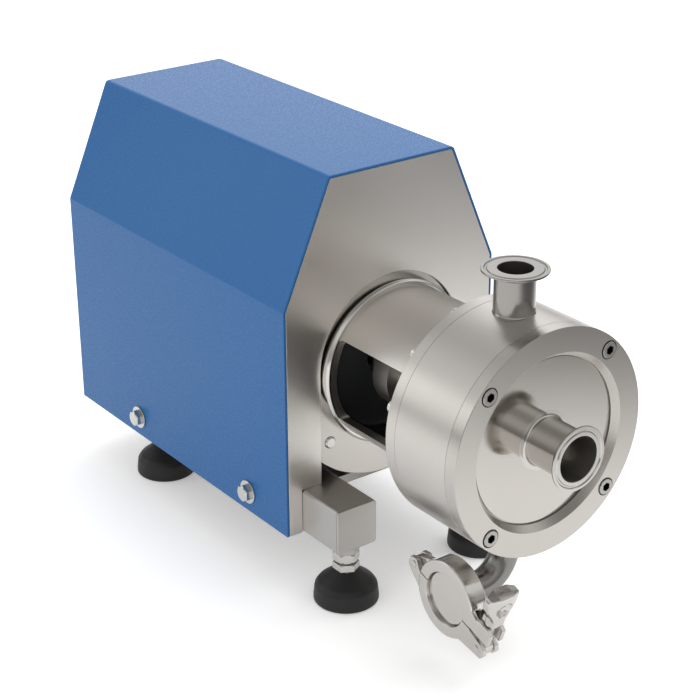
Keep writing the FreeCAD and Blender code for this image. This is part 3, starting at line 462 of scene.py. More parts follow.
def steel(name, slot, light, dark, rough, grain=(1, 1, 1), grain_scale=900.0, depth=0.00001, spread=0.06,
          inside=None):
    """Stainless steel with a fine grain stretched along one direction.

    What lies inside (axis, radius, colour, roughness) gets a colour and a roughness of its own: near black
    inside the lantern, painted shade; lighter in the outlet's bore, painted light; close to the outer tone in
    the inlet.
    """
    paint = Paint(name, slot, Metallic=1.0)
    streaks = paint.noise(paint.stretched(*grain), grain_scale, 3.0, 0.6)
    cloud = paint.noise(paint.place(), 14.0, 2.0)
    colour = paint.mix((streaks * 0.5 + cloud * 0.5).clamped(), dark, light)
    roughness = rough + spread * (streaks - 0.5)
    if inside:
        axis, reach, inner, inner_rough = inside
        x, y, z = paint.parts()
        across = y - (FACE_Y + PORT_Y) * MM if axis == "Z" else z - AXIS_HEIGHT * MM
        within = x.sum("LESS_THAN", (x * x + across * across) ** 0.5, reach * MM)
        # Colour within the radius: painted shade in the lantern, painted light in the outlet's bore
        colour = paint.mix(within, colour, inner)
        roughness = roughness + (inner_rough - rough) * within
    else:
        roughness = roughness + 0.08 * (cloud - 0.5)
    paint.feed(Base_Color=colour, Roughness=roughness, Normal=paint.bump(streaks, depth))
    return paint


def turned_steel(name, slot, light, dark, rough):
    """Steel faced in a lathe: fine rings round the shaft, smoother within the cover's recess"""
    paint = Paint(name, slot, Metallic=1.0)
    x, _, z = paint.parts()
    z = z - AXIS_HEIGHT * MM
    radius = (x * x + z * z) ** 0.5
    ring = paint.node("ShaderNodeCombineXYZ", {}, [radius, 0.0, 0.0])
    grooves = paint.noise(ring, 2600.0, 3.0, 0.7)
    cloud = paint.noise(paint.place(), 20.0, 2.0)
    recess = radius.sum("LESS_THAN", radius, RECESS_RADIUS * MM)
    paint.feed(
        Base_Color=paint.mix((grooves * 0.6 + cloud * 0.4).clamped(), dark, light),
        Roughness=rough + 0.1 * (grooves - 0.5) - 0.18 * recess,
        Normal=paint.bump(grooves, 0.00002),
    )
    return paint


def plain(name, slot, light, dark, rough, scale=300.0, depth=0.00002, **constants):
    """Moulded, painted or cast surface with a fine texture"""
    paint = Paint(name, slot, **constants)
    grain = paint.noise(paint.place(), scale, 3.0)
    cloud = paint.noise(paint.place(), 9.0, 2.0)
    paint.feed(
        Base_Color=paint.mix(cloud, dark, light),
        Roughness=rough + 0.1 * (grain - 0.5),
        Normal=paint.bump(grain, depth),
    )
    return paint


blue = plain("blue_paint", "blue_paint", (0.022, 0.114, 0.302, 1), (0.02, 0.108, 0.29, 1), 0.27,
             700.0, 0.000004, Specular_IOR_Level=0.2)
# Front panel steel: a lighter copy of the brushed steel, painted light on the panel
plate_steel_lightened = steel("plate_steel_lightened", "brushed_stainless", (0.88, 0.85, 0.81, 1), (0.8, 0.77, 0.73, 1), 0.36,
                    (1, 1, 0.03), 1400.0, 0.000004)
round_steel = steel("round_steel", "brushed_stainless", (0.64, 0.61, 0.58, 1), (0.57, 0.54, 0.5, 1), 0.3,
                    (0.1, 1, 0.1), 1400.0, 0.000003)
# Lantern steel: near black within 59 mm of the shaft, painted shade inside the tube
lantern_steel_shaded_inside = steel("lantern_steel_shaded_inside", "brushed_stainless", (0.64, 0.61, 0.58, 1), (0.57, 0.54, 0.5, 1), 0.3,
                      (0.1, 1, 0.1), 1400.0, 0.000003, inside=("Y", 59.0, (0.05, 0.048, 0.045, 1), 0.4))
face_steel = turned_steel("face_steel", "brushed_stainless", (0.59, 0.56, 0.53, 1),
                          (0.51, 0.485, 0.45, 1), 0.25)
# Drain pipe steel: a much darker copy of the polished steel, painted shade on the elbow
pipe_steel_shaded = steel("pipe_steel_shaded", "polished_stainless", (0.28, 0.272, 0.257, 1), (0.23, 0.222, 0.21, 1), 0.25,
                   (1, 1, 1), 500.0, 0.000001, 0.03)
bright_steel = steel("bright_steel", "polished_stainless", (0.7, 0.68, 0.65, 1), (0.62, 0.6, 0.57, 1), 0.15,
                     (1, 1, 1), 500.0, 0.000001, 0.03)
inlet_steel = steel("inlet_steel", "polished_stainless", (0.63, 0.61, 0.58, 1), (0.55, 0.53, 0.5, 1), 0.13,
                    (1, 1, 1), 500.0, 0.000001, 0.03, ("Y", 17.95, (0.6, 0.58, 0.54, 1), 0.35))
# Outlet steel: a darkened copy of the polished steel, painted shade on the ferrule; its bore within 13.35 mm
# is lighter, painted light
outlet_steel_shade_and_light = steel("outlet_steel_shade_and_light", "polished_stainless", (0.38, 0.365, 0.345, 1), (0.31, 0.3, 0.285, 1),
                     0.14, (1, 1, 1), 500.0, 0.000001, 0.03, ("Z", 13.35, (0.45, 0.43, 0.4, 1), 0.3))
satin_steel = steel("satin_steel", "brushed_stainless", (0.55, 0.53, 0.505, 1), (0.49, 0.475, 0.45, 1), 0.42,
                    (1, 0.05, 1), 1200.0, 0.000004)
screw_steel = steel("screw_steel", "plated_steel", (0.66, 0.65, 0.62, 1), (0.56, 0.55, 0.52, 1), 0.28)
# Cap screws: what lies more than 0.4 mm behind the cover's face, the socket and the head's sides in the
# counterbore, is near black, painted shade; the rest is a flat grey
sunk_shade = screw_steel.parts()[1]
sunk_shade = sunk_shade.sum("GREATER_THAN", sunk_shade, (FACE_Y + 0.4) * MM)
screw_steel.feed(Base_Color=screw_steel.mix(sunk_shade, (0.42, 0.41, 0.39, 1), (0.05, 0.048, 0.045, 1)))
bolt_steel = steel("bolt_steel", "plated_steel", (0.72, 0.71, 0.68, 1), (0.6, 0.59, 0.56, 1), 0.25)
moulding = plain("black_moulding", "black_moulding", (0.008, 0.008, 0.008, 1), (0.005, 0.005, 0.005, 1), 0.5)
# Cast parts near black, painted shade: they darken what shows through the lantern's windows
castings_dark_for_shade = plain("cast_aluminium", "cast_aluminium", (0.05, 0.052, 0.056, 1), (0.035, 0.037, 0.04, 1),
                 0.5, 500.0, 0.00008)
grey = plain("grey_sheet", "grey_sheet", (0.08, 0.085, 0.09, 1), (0.065, 0.07, 0.075, 1), 0.45)
ground = steel("bearing_steel", "bearing_steel", (0.5, 0.5, 0.5, 1), (0.42, 0.42, 0.42, 1), 0.3)
rubber = plain("black_rubber", "black_rubber", (0.02, 0.02, 0.02, 1), (0.014, 0.014, 0.014, 1), 0.6)
carbide = plain("seal_carbide", "seal_carbide", (0.05, 0.05, 0.055, 1), (0.035, 0.035, 0.04, 1), 0.25)

OF_SLOT = {
    "blue_paint": blue,
    "brushed_stainless": satin_steel,
    "polished_stainless": bright_steel,
    "plated_steel": bolt_steel,
    "black_moulding": moulding,
    "cast_aluminium": castings_dark_for_shade,
    "grey_sheet": grey,
    "bearing_steel": ground,
    "black_rubber": rubber,
    "seal_carbide": carbide,
}
for subpart in frame["record"]["subparts"]:
    mesh = frame["nodes"][subpart["node"]].data
    mesh.materials.clear()
    mesh.materials.append(OF_SLOT[subpart["material_slot"]].data)


# Cover and front panel

def cover_corners(inwards):
    """Corners of the folded cover's section, moved inwards from its outside"""
    run = (COVER_WIDTH - COVER_TOP_WIDTH) / 2
    rise = COVER_TOP - COVER_SHOULDER
    side = COVER_WIDTH / 2 - inwards
    shoulder = COVER_SHOULDER - math.tan(math.atan(run / rise) / 2) * inwards
    half_top = COVER_TOP_WIDTH / 2 - math.tan(math.atan(rise / run) / 2) * inwards
    top = COVER_TOP - inwards
    return [
        (-side, COVER_BOTTOM), (-side, shoulder), (-half_top, top),
        (half_top, top), (side, shoulder), (side, COVER_BOTTOM),
    ]


def bent(corners, radius):
    """Give the four bends their radius and leave the two ends sharp"""
    return [(x, z, radius if 0 < number < 5 else 0.3) for number, (x, z) in enumerate(corners)]


cover_section = soften(bent(cover_corners(0), 4.5) + bent(cover_corners(SHEET), 2.5)[::-1], steps=6)
add_piece("cover_skin", *extrude(cover_section, "Y", COVER_FRONT, COVER_REAR, 0.45, strip=True), blue,
          "motor_cover")

gap = SHEET + 0.3
half_bottom = COVER_WIDTH / 2 - gap
notch_side = RAIL_X + RAIL_HALF + NOTCH_GAP
notch_top = RAIL_TOP + NOTCH_GAP
panel_outline = (
    [(-half_bottom, COVER_BOTTOM)]
    + [(x, z, 2.2) for x, z in cover_corners(gap)[1:5]]
    + [(half_bottom, COVER_BOTTOM), (notch_side, COVER_BOTTOM), (notch_side, notch_top), (THROAT, notch_top)]
    + arc((0, THROAT_RISE), THROAT, 0, 180, 96)
    + [(-THROAT, notch_top), (-notch_side, notch_top), (-notch_side, COVER_BOTTOM)]
)
front_plate = extrude(soften(panel_outline), "Y", COVER_FRONT, COVER_FRONT + SHEET, 0.2)
add_piece("front_plate", *front_plate, plate_steel_lightened, "front_panel")

# Rails, end caps and feet

def rail_section(x):
    """Section of a square tube with rounded corners"""
    low = x - RAIL_HALF
    high = x + RAIL_HALF
    return soften([(low, RAIL_BOTTOM), (high, RAIL_BOTTOM), (high, RAIL_TOP), (low, RAIL_TOP)], 3.0, steps=6)


for side, name in ((-1, "left"), (1, "right")):
    x = side * RAIL_X
    bar = extrude(rail_section(x), "Y", RAIL_FRONT + END_CAP, RAIL_REAR - END_CAP, 0.15)
    weld_nuts = []
    for y in FOOT_ENDS.values():
        nut = soften([(-136.4, 0), (-136.4, 9.7), (-135.4, 11.1), (-128, 11.1), (-128, 0)], 0.2, closed=False)
        weld_nuts.append(spin(nut, "Z", hex_profile(19), 96, (x, y)))
    add_piece(f"rail_{name}", *joined([bar] + weld_nuts), satin_steel, f"base_rail_{name}")

caps = []
for side in (-1, 1):
    for low, high in ((RAIL_FRONT, RAIL_FRONT + END_CAP), (RAIL_REAR - END_CAP, RAIL_REAR)):
        caps.append(extrude(rail_section(side * RAIL_X), "Y", low, high, 0.7, 4))
add_piece("rail_caps", *joined(caps), satin_steel, "rail_end_caps")


def threaded(low, high, radius, pitch, depth, across):
    """Threaded rod: radius - depth * |sawtooth(z / pitch - angle / full turn)|, capped at both ends"""
    steps = 48
    rows = int((high - low) / pitch * 8)
    z = np.linspace(low, high, rows)
    angles = np.linspace(0, 2 * math.pi, steps, endpoint=False)
    phase = (z[:, None] / pitch - angles[None, :] / (2 * math.pi)) % 1.0
    r = radius - depth * np.abs(2 * phase - 1)
    r[0] = radius - 1.2 * depth
    r[-1] = radius - 1.2 * depth
    x = across[0] + r * np.cos(angles)
    y = across[1] + r * np.sin(angles)
    points = along_axis("Z", np.repeat(z[:, None], steps, 1), x, y)
    faces = grid_faces(rows, steps)
    faces.append(tuple(range(steps - 1, -1, -1)))
    faces.append(tuple((rows - 1) * steps + index for index in range(steps)))
    return points.reshape(-1, 3), faces


nuts = []
for corner, (x, y) in FEET.items():
    body = f"foot_{corner}"
    turned(f"foot_{corner}_moulding", [
        (0, 0), (0, 25.2, 1.0), (1.2, 26.4, 1.2), (4.5, 26.4, 1.5), (13.5, 25.4, 5), (17.5, 22.5, 5),
        (27.5, 9.8, 1.5), (27.5, 8, 0.2), (22, 8), (22, 0),
    ], moulding, f"foot_pad_{corner}", axis="Z", place=moved(0, 0, FLOOR), across=(x, y), body=body, edge=0.1)
    hexagon = soften([
        (27.6, 0), (27.6, 9.3), (28.8, 11.1), (33.6, 11.1), (34.5, 9.9), (34.5, 0)
    ], 0.25, closed=False)
    rod = threaded(20, 85, 6, 1.75, 0.8, (x, y))
    foot_stud = joined([spin(hexagon, "Z", hex_profile(19), 96, (x, y)), rod])
    add_piece(f"foot_{corner}_stud", *foot_stud, bolt_steel, f"foot_stud_{corner}",
              place=moved(0, 0, FLOOR), body=body)
    lock = soften([
        (36.4, 0), (36.4, 9.7), (37.3, 11.1), (42.7, 11.1), (43.6, 9.7), (43.6, 0)
    ], 0.2, closed=False)
    nuts.append(spin(lock, "Z", hex_profile(19), 96, (x, y)))
add_piece("lock_nuts", *joined(nuts), bolt_steel, "foot_lock_nuts", place=moved(0, 0, FLOOR))

# Bolts and washers low on the cover's sides

heads = []
rings = []
for side, y in SIDE_BOLTS:
    skin = side * COVER_WIDTH / 2
    washer = soften([(skin, 4.2), (skin, 10), (skin + side * 1.6, 10), (skin + side * 1.6, 4.2)], 0.35)
    rings.append(spin(washer, "X", None, 64, (y, SIDE_BOLT_Z)))
    seat = skin + side * 1.6
    head = [
        (seat - side * 12, 0), (seat - side * 12, 4), (seat, 4), (seat, 6.9), (seat + side * 0.6, 7.5),
        (seat + side * 4.4, 7.5), (seat + side * 5.3, 6.0), (seat + side * 5.3, 0),
    ]
    heads.append(spin(soften(head, 0.2, closed=False), "X", hex_profile(13), 96, (y, SIDE_BOLT_Z)))
add_piece("side_bolts", *joined(heads), bolt_steel, "cover_bolts")
add_piece("side_washers", *joined(rings), bolt_steel, "cover_washers")

# Lantern: tube with windows, polished collar, round flange

tube = turned("lantern_tube", [
    (78.4, 58), (78.4, 65.5), (190.5, 65.5), (190.5, 58)
], lantern_steel_shaded_inside, "lantern", edge=0.2)
window = soften([(99.0 - 5, -34.5), (179.5, -34.5), (179.5, 34.5), (99.0 - 5, 34.5)], 5, steps=8)
cut_out(tube, [extrude(window, "X", -80, 80, 0)])
turned("lantern_front_flange", [
    (68, 48), (68, 90, 0.12), (78.4, 90, 0.5), (78.4, 48)
], round_steel, "lantern", edge=0.2)
turned("lantern_collar", [
    (178.5, 65.4), (178.5, 67.5, 1.5), (180.5, 69, 2.5), (190.2, 69), (190.2, 65.4)
], bright_steel, "lantern", edge=0.3)
turned("lantern_rear_flange", [
    (190, 60), (190, 100, 0.6), (200, 100, 0.6), (200, 65), (196.5, 65), (196.5, 60)
], face_steel, "lantern", edge=0.2)


def socket_screw(head_low, head_high, radius, flats, depth, shank_radius, shank_end, axis, across, steps=96):
    """Cap screw: a turned head whose top has a hexagonal recess, and a plain shank.

    A radius of -1 in the outline stands for the side of the recess's hexagon.
    """
    way = 1 if head_high > head_low else -1
    shape = [
        (shank_end, 0), (shank_end, shank_radius), (head_low, shank_radius), (head_low, radius),
        (head_high - way * 0.5, radius), (head_high, radius - 0.5), (head_high, -1),
        (head_high - way * depth, -1), (head_high - way * depth, 0),
    ]
    outline = np.array(shape, float)

    def radii(points, angles):
        sides = hexagon_radius(flats, angles)
        plain_radius = np.repeat(points[:, 1:2], len(angles), 1)
        return np.where(plain_radius < 0, sides[None, :], plain_radius)

    return spin(outline, axis, radii, steps, across)


def round_the_shaft(count, radius, start):
    """Places (x, z) spaced evenly round the shaft, the first at an angle in degrees"""
    angles = [math.radians(start + 360 * number / count) for number in range(count)]
    return [(radius * math.cos(angle), radius * math.sin(angle)) for angle in angles]


front_screws = [
    socket_screw(7, -1, 6.5, 6.4, 4.5, 4, 29, "Y", across)
    for across in round_the_shaft(4, SCREW_CIRCLE, SCREW_START)
]
add_piece("front_screws", *joined(front_screws), screw_steel, "cover_screws", sharp=40)
rear_screws = [
    socket_screw(78.4, 84.4, 5, 5, 3.4, 3, 56, "Y", across, 60)
    for across in round_the_shaft(12, REAR_SCREW_CIRCLE, 15)
]
add_piece("rear_screws", *joined(rear_screws), bolt_steel, "lantern_screws", sharp=40)

stud = soften([
    (188.3, 0), (188.3, 4, 0.6), (189.3, 5, 0.6), (212, 5), (212, 9.2), (218.4, 9.2), (218.4, 0)
], 0.2, closed=False)
studs = [spin(stud, "Y", None, 64, across) for across in round_the_shaft(4, FLANGE_CIRCLE, 45)]
add_piece("flange_studs", *joined(studs), bolt_steel, "flange_bolts")

# Pump chamber, its cover and the pipe ends

chamber = turned("chamber_shell", [
    (11.2, 67), (11.2, 90), (67.8, 90), (67.8, 36), (56, 36), (56, 67)
], round_steel, "chamber_body", edge=0.12)


def port_cutter(radius, low, high):
    """Upright round cutter at the ports"""
    outline = np.array([(low, 0), (low, radius), (high, radius), (high, 0)], float)
    return spin(outline, "Z", None, 96, (0, PORT_Y))


cut_out(chamber, [port_cutter(13, 50, 100), port_cutter(10, -100, -50)])

cover_plate = turned("chamber_cover", [
    (0, 70.5, 0.2), (0, 90, 0.4), (11, 90, 0.12), (11, 19), (6.5, 19), (6.5, 65.2, 0.1),
    (8, 65.2), (8, 66.3), (5.6, 66.3, 0.2)
], face_steel, "front_cover", edge=0.3)
counterbore = np.array([(-2, 0), (-2, 7.4), (7, 7.4), (7, 0)], float)
cut_out(cover_plate, [
    spin(counterbore, "Y", None, 64, across) for across in round_the_shaft(4, SCREW_CIRCLE, SCREW_START)
])


def ferrule(face, way, bore, neck):
    """Turned outline of a clamp ferrule from its bore to its neck, with the gasket groove"""
    slope = (25.25 - neck) * TAPER
    return [
        (face, bore, 0.4), (face, 20.6, 0.2), (face + way * 0.9, 21.2, 0.5), (face + way * 0.9, 22.4, 0.5),
        (face, 23, 0.2), (face, 25.25, 0.4), (face + way * 1.6, 25.25, 0.4),
        (face + way * (1.6 + slope), neck, 1.5),
    ]


turned("inlet_end", ferrule(-30, 1, 17.8, 19) + [
    (6.4, 19, 5), (6.4, 23.6), (6.9, 23.6), (11, 19), (11, 17.8)
], inlet_steel, "inlet_ferrule", edge=0.2)
outlet = ferrule(123.4, -1, 13.2, 15.5) + [
    (90.6, 15.5, 1), (89.6, 16), (86, 16), (84, 15.5), (80, 15.5), (80, 13.2)
]
turned("outlet_end", outlet, outlet_steel_shade_and_light, "outlet_ferrule", axis="Z", across=(0, PORT_Y), edge=0.2)

# Drain elbow, gasket and cap

BEND = 28.0
OUTER = 11.5


def elbow():
    """Pipe round a path: down, a quarter turn to the left, and along.

    Its ferrule is a bulge of the pipe's radius.
    """
    path = [(0.0, -80.0, 0.0), (0.0, DRAIN_Z + BEND, 0.0)]
    for step in range(1, 25):
        t = math.pi / 2 * step / 24
        path.append((-BEND + BEND * math.cos(t), DRAIN_Z + BEND - BEND * math.sin(t), t))
    slope = (25.25 - OUTER) * TAPER
    face = DRAIN_X + 1
    radii = [OUTER] * len(path)
    for x, radius in (
        (face + 1.6 + slope + 1.5, OUTER), (face + 1.6 + slope, OUTER + 0.6), (face + 1.75, 25.0),
        (face + 1.5, 25.25), (face + 0.1, 25.25), (face, 25.1), (face, 10),
    ):
        path.append((x, DRAIN_Z, math.pi / 2))
        radii.append(radius)
    back = list(range(len(path) - 8, -1, -1))
    path += [path[index] for index in back]
    radii += [10.0] * len(back)
    steps = 64
    angles = np.linspace(0, 2 * math.pi, steps, endpoint=False)
    points = []
    for (x, z, t), radius in zip(path, radii):
        away = np.array((math.cos(t), 0, -math.sin(t)))
        ring = away * np.cos(angles)[:, None] + np.array((0, 1, 0)) * np.sin(angles)[:, None]
        points.append(np.array((x, PORT_Y, z)) + radius * ring)
    return np.concatenate(points), grid_faces(len(path), steps, close_rows=True)


add_piece("drain_pipe", *elbow(), pipe_steel_shaded, "drain_elbow")
turned("drain_seal", [(-1, 10), (-1, 25.4), (1, 25.4), (1, 10)], rubber, "drain_gasket", axis="X",
       place=on_clamp, edge=0.3)
cap_back = -1 - 1.6 - (25.25 - 21.75) * TAPER
turned("blind_cap", [
    (-1, 0), (-1, 25.25, 0.3), (-2.6, 25.25, 0.3), (cap_back, 21.6, 0.8), (cap_back - 1.2, 20.6, 0.5),
    (cap_back - 1.2, 0)
], bright_steel, "drain_cap", axis="X", place=on_clamp, edge=0.3)

# Pipe clamp

LIP = 21.75
WALL = 2.6
clamp_outline = soften([
    (-8, LIP, 0.8), (-8, 31.5, 1.4), (8, 31.5, 1.4), (8, LIP, 0.8), (WALL + (25.25 - LIP) * TAPER, LIP, 0.4),
    (WALL - 0.13, 25.6, 0.2), (-WALL + 0.13, 25.6, 0.2), (-WALL - (25.25 - LIP) * TAPER, LIP, 0.4),
], 0.3)


def half_ring(first, last):
    """The clamp's section swept round the pipe between two angles, closed at both ends"""
    steps = 72
    angles = np.radians(np.linspace(first, last, steps + 1))
    points = []
    for angle in angles:
        points.append(np.stack((
            clamp_outline[:, 0], clamp_outline[:, 1] * math.cos(angle), clamp_outline[:, 1] * math.sin(angle)
        ), 1))
    count = len(clamp_outline)
    faces = grid_faces(steps + 1, count)
    faces.append(tuple(range(count - 1, -1, -1)))
    faces.append(tuple(steps * count + index for index in range(count)))
    return np.concatenate(points), faces


def prong(outline, low, high, radius=1.5):
    """A flat ear or lug across the clamp's width"""
    return extrude(soften(outline, radius), "X", low, high, 0.7)


lower_ear = [
    (-25, -0.5), (-45.2, -3.5), (-50.2, -5.5), (-52.2, -10.1), (-49.2, -15.6), (-43.2, -16.1), (-24, -19.5)
]
lower_lug = [(26, -0.5), (32.5, -0.5), (38.6, 6), (45.6, 3), (45.6, -4), (39.6, -8), (26, -15)]
upper_ear = [(-25, 0.5), (-51.7, 0.5), (-51.7, 11.9), (-46.7, 14.6), (-38.7, 14.6), (-33.7, 12.2), (-26, 16)]
upper_lug = [(26, 0.5), (26, 15), (39.6, 6), (44.6, 2), (44.6, -3), (39.6, -5), (33.5, 0.5)]
add_piece("lower_half", *joined([
    half_ring(180 + 1, 360 - 1),
    prong(lower_ear, -7.9, -4.3), prong(lower_ear, 4.3, 7.9),
    prong(lower_lug, -7.9, -3.5), prong(lower_lug, 3.5, 7.9),
]), bright_steel, "clamp_lower_half", place=on_clamp)
add_piece("upper_half", *joined([
    half_ring(1, 180 - 1),
    prong(upper_ear, -7.9, -4.3), prong(upper_ear, 4.3, 7.9),
    prong(upper_lug, -3.2, 3.2),
]), bright_steel, "clamp_upper_half", place=on_clamp)
pins = []
for across in ((SWING_Y, SWING_Z), (HINGE_Y, 0)):
    pin = soften([(-8.8, 0), (-8.8, 3, 0.6), (8.8, 3, 0.6), (8.8, 0)], 0.3, closed=False)
    pins.append(spin(pin, "X", None, 40, across))
add_piece("rivets", *joined(pins), bolt_steel, "clamp_pins", place=on_clamp)

eye = soften([(-4.1, 3.1), (-4.1, 7), (4.1, 7), (4.1, 3.1)], 0.4)
rod = threaded(SWING_Z + 3.6, SWING_Z + NUT_SEAT + 13, 3.95, 1.25, 0.5, (0, SWING_Y))
swinging = joined([spin(eye, "X", None, 64, (SWING_Y, SWING_Z)), rod])
add_piece("clamp_bolt", *swinging, bolt_steel, "swing_bolt", place=on_clamp, body="swing_bolt")

nut_low = SWING_Z + NUT_SEAT
fan_side = [
    (5.6, 0.0, 1.5), (5.8, 7.0, 2), (7.4, 11, 6), (13.5, 20, 8), (15.6, 29, 3), (13.5, 32.5, 3), (7, 34, 6)
]
fan = soften([(-x, z, *r) for x, z, *r in fan_side[::-1]] + fan_side, 2.0, steps=6)


def lens_fan(outline, thick, middle):
    """Fan-shaped body that thins out sideways like a lens and has a rounded rim.
    Half its thickness is thick / 2 * (1 - 0.6 * (x / half the width) squared).
    """
    width = np.abs(outline[:, 0]).max()
    shrink = (0, 0.5, 1.2, 2.2, 3.4, 4.6, 5.8, 7.0, 8.2, 9.4, 10.6, 11.8, 13.0, 14.5)
    centre = np.array((0.0, middle))
    rings = []
    for step, inwards in enumerate(shrink):
        distance = np.hypot(*(outline - centre).T)[:, None]
        ring = outline + (centre - outline) / distance * np.minimum(inwards, 0.94 * distance)
        rings.append(ring)
    layers = []
    for side in (-1, 1):
        chosen = rings if side == 1 else rings[::-1]
        for number, ring in enumerate(chosen):
            step = number if side == 1 else len(rings) - 1 - number
            half = thick / 2 * (1 - 0.6 * (ring[:, 0] / width) ** 2)
            rim = (1.2, 0.5, 0.12)[step] if step < 3 else 0.0
            layers.append(np.stack((ring[:, 0], SWING_Y + side * (half - rim), nut_low + ring[:, 1]), 1))
    count = len(outline)
    faces = grid_faces(len(layers), count)
    faces.append(tuple(range(count - 1, -1, -1)))
    faces.append(tuple((len(layers) - 1) * count + index for index in range(count)))
    return np.concatenate(layers), faces


eye_height = nut_low + NUT_EYE
winged = add_piece("winged_nut", *lens_fan(fan, NUT_THICK, NUT_EYE), bright_steel, "wing_nut",
                   place=on_clamp, body="wing_nut")
hollows = []
for side in (-1, 1):
    deep = SWING_Y + side * 2.2
    clear = SWING_Y + side * 9
    hollow = np.array([(deep, 0), (deep, 5.8), (clear, 7.8), (clear, 0)], float)
    points, faces = spin(hollow, "Y", None, 64, (0, eye_height))
    hollows.append((on_clamp(points), faces))
cut_out(winged, hollows)
boss = soften([
    (SWING_Y - 5.4, 0), (SWING_Y - 5.4, 2.6, 0.9), (SWING_Y - 2, 3.1), (SWING_Y + 2, 3.1),
    (SWING_Y + 5.4, 2.6, 0.9), (SWING_Y + 5.4, 0)
], 0.2, closed=False)
add_piece("nut_boss", *spin(boss, "Y", None, 48, (0, eye_height)), bolt_steel, "wing_nut", place=on_clamp,
          body="wing_nut")
hub = soften([(nut_low, 4.05), (nut_low, 6.2, 0.6), (nut_low + 9, 6.4, 1.0), (nut_low + 9, 4.05)], 0.3)
add_piece("nut_hub", *spin(hub, "Z", None, 64, (0, SWING_Y)), bright_steel, "wing_nut", place=on_clamp,
          body="wing_nut")

# Shaft inside the lantern

turned("pump_spindle", [
    (14, 0), (14, 6), (24, 6), (24, 11), (36, 11), (36, 15), (138, 15), (138, 19), (186, 19), (186, 12),
    (149, 12), (149, 0)
], round_steel, "pump_shaft", body="rotor", edge=0.4)

# Floor, lights and camera

AMBIENT = 0.78
MIRROR_LOW = 0.5
MIRROR_HIGH = 1.0
MIRROR_TOP = 0.3
half_floor = 6.0
floor_mesh = bpy.data.meshes.new("floor")
floor_mesh.from_pydata([
    (x * half_floor, y * half_floor, -0.0002) for x, y in ((-1, -1), (1, -1), (1, 1), (-1, 1))
], [], [(0, 1, 2, 3)])
floor = bpy.data.objects.new("floor", floor_mesh)
bpy.context.scene.collection.objects.link(floor)
floor_paint = Paint("floor", "floor", Roughness=0.9)
floor_paint.shader.inputs["Specular IOR Level"].default_value = 0.0
floor_paint.shader.inputs["Emission Strength"].default_value = 0.3
# Seen in reflections only, the floor fades from 0.75 near the machine to 0.13 towards the front right:
# painted reflection on the steel faces. Its even glow of 0.3 lightens the shadows on it.
reach = floor_paint.node(
    "ShaderNodeVectorMath", {"operation": "DOT_PRODUCT"}, [floor_paint.place(), (0.6, -0.8, 0.0)], "Value"
)
fading = floor_paint.node("ShaderNodeMapRange", {"interpolation_type": "SMOOTHSTEP"}, {
    "Value": reach, "From Min": 0.42, "From Max": 0.9, "To Min": 0.75, "To Max": 0.13,
})
floor_shade_in_reflections = floor_paint.node("ShaderNodeCombineColor", {}, [fading, fading, fading])
glossy_ray = floor_paint.node("ShaderNodeLightPath", output="Is Glossy Ray")
tone = floor_paint.mix(glossy_ray, (0.93, 0.93, 0.93, 1), floor_shade_in_reflections)
floor_paint.feed(Base_Color=tone, Emission_Color=tone)
floor_mesh.materials.append(floor_paint.data)

world = bpy.data.worlds.new("studio")
bpy.context.scene.world = world
world.use_nodes = True
tree = world.node_tree
ambient = tree.nodes["Background"]
ambient.inputs["Color"].default_value = (1.0, 1.0, 1.0, 1)
ambient.inputs["Strength"].default_value = AMBIENT
white = tree.nodes.new("ShaderNodeBackground")
white.inputs["Color"].default_value = (1, 1, 1, 1)
direction = tree.nodes.new("ShaderNodeTexCoord")
height = tree.nodes.new("ShaderNodeSeparateXYZ")
ramp = tree.nodes.new("ShaderNodeMapRange")
ramp.interpolation_type = "SMOOTHSTEP"
for key, value in (("From Min", 0.1), ("From Max", 0.5), ("To Min", MIRROR_LOW), ("To Max", MIRROR_HIGH)):
    ramp.inputs[key].default_value = value
fade = tree.nodes.new("ShaderNodeMapRange")
fade.interpolation_type = "SMOOTHSTEP"
for key, value in (("From Min", 0.6), ("From Max", 0.9), ("To Min", 1.0), ("To Max", MIRROR_TOP)):
    fade.inputs[key].default_value = value
level = tree.nodes.new("ShaderNodeMath")
level.operation = "MULTIPLY"
mirrored = tree.nodes.new("ShaderNodeBackground")
rays = tree.nodes.new("ShaderNodeLightPath")
for_mirrors = tree.nodes.new("ShaderNodeMixShader")
for_camera = tree.nodes.new("ShaderNodeMixShader")
tree.links.new(direction.outputs["Generated"], height.inputs[0])
tree.links.new(height.outputs["Z"], ramp.inputs["Value"])
tree.links.new(height.outputs["Z"], fade.inputs["Value"])
tree.links.new(ramp.outputs[0], level.inputs[0])
tree.links.new(fade.outputs[0], level.inputs[1])
tree.links.new(level.outputs[0], mirrored.inputs["Strength"])
tree.links.new(rays.outputs["Is Glossy Ray"], for_mirrors.inputs[0])
tree.links.new(ambient.outputs[0], for_mirrors.inputs[1])
tree.links.new(mirrored.outputs[0], for_mirrors.inputs[2])
tree.links.new(rays.outputs["Is Camera Ray"], for_camera.inputs[0])
tree.links.new(for_mirrors.outputs[0], for_camera.inputs[1])
tree.links.new(white.outputs[0], for_camera.inputs[2])
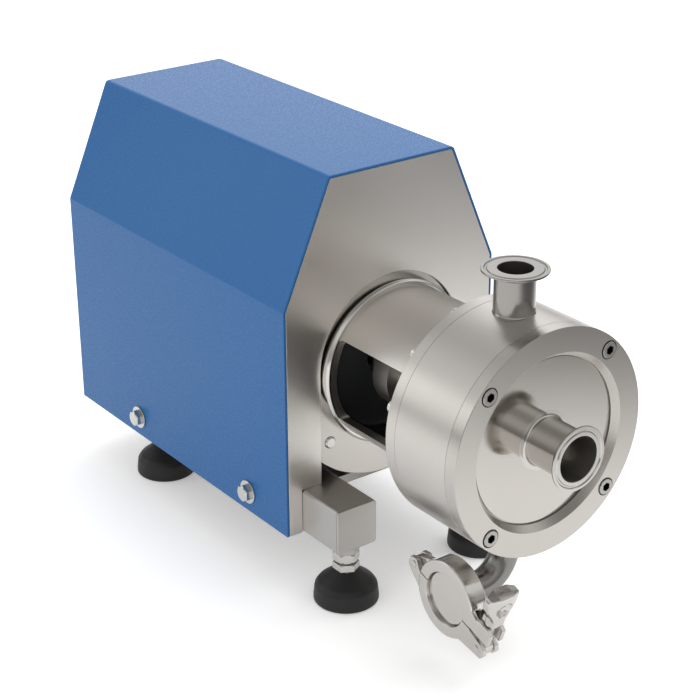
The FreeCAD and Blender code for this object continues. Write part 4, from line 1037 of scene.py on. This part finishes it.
tree.links.new(for_camera.outputs[0], tree.nodes["World Output"].inputs["Surface"])


def area_light(name, at, towards, width, height, power):
    """A soft box that looks at a point"""
    light = bpy.data.lights.new(name, "AREA")
    light.shape = "RECTANGLE"
    light.size = width
    light.size_y = height
    light.energy = power
    lamp = bpy.data.objects.new(name, light)
    bpy.context.scene.collection.objects.link(lamp)
    lamp.location = at
    lamp.rotation_euler = (Vector(towards) - Vector(at)).to_track_quat("-Z", "Y").to_euler()
    return lamp


overhead = area_light("overhead", (0.8, 0.1, 1.55), (0, 0, 0), 1.7, 2.2, 24)
overhead.visible_glossy = False
left = area_light("left", (-1.8, -0.5, 0.3), (0, 0, 0.15), 0.9, 0.5, 4.4)
left.visible_glossy = False
area_light("right_back", (1.1, 1.6, 1.17), (0, 0.1, 0.34), 2.0, 1.5, 5.5)
area_light("left_back", (-1.25, 1.2, 0.7), (0, -0.2, 0.2), 0.9, 0.7, 1.6)

AZIMUTH = math.radians(-36.846)
ELEVATION = math.radians(24.296)
ROLL = math.radians(-0.2135)
FOCAL_PIXELS = 1785.46
PHOTO_WIDTH = 700.0
SENSOR = 36.0
TARGET = Vector((-0.00244, -0.02021, 0.16992))
DISTANCE = 1.46827
right = Vector((math.cos(AZIMUTH), math.sin(AZIMUTH), 0))
back_way = Vector((
    math.sin(AZIMUTH) * math.cos(ELEVATION), -math.cos(AZIMUTH) * math.cos(ELEVATION), math.sin(ELEVATION)
))
up = back_way.cross(right)
rolled_right = math.cos(ROLL) * right + math.sin(ROLL) * up
rolled_up = back_way.cross(rolled_right)
camera_data = bpy.data.cameras.new("camera")
camera_data.sensor_width = SENSOR
camera_data.lens = FOCAL_PIXELS * SENSOR / PHOTO_WIDTH
camera = bpy.data.objects.new("camera", camera_data)
bpy.context.scene.collection.objects.link(camera)
turn = Matrix((rolled_right, rolled_up, back_way)).transposed().to_4x4()
camera.matrix_world = Matrix.Translation(TARGET + DISTANCE * back_way) @ turn
bpy.context.scene.camera = camera
bpy.context.scene.view_settings.view_transform = "Standard"
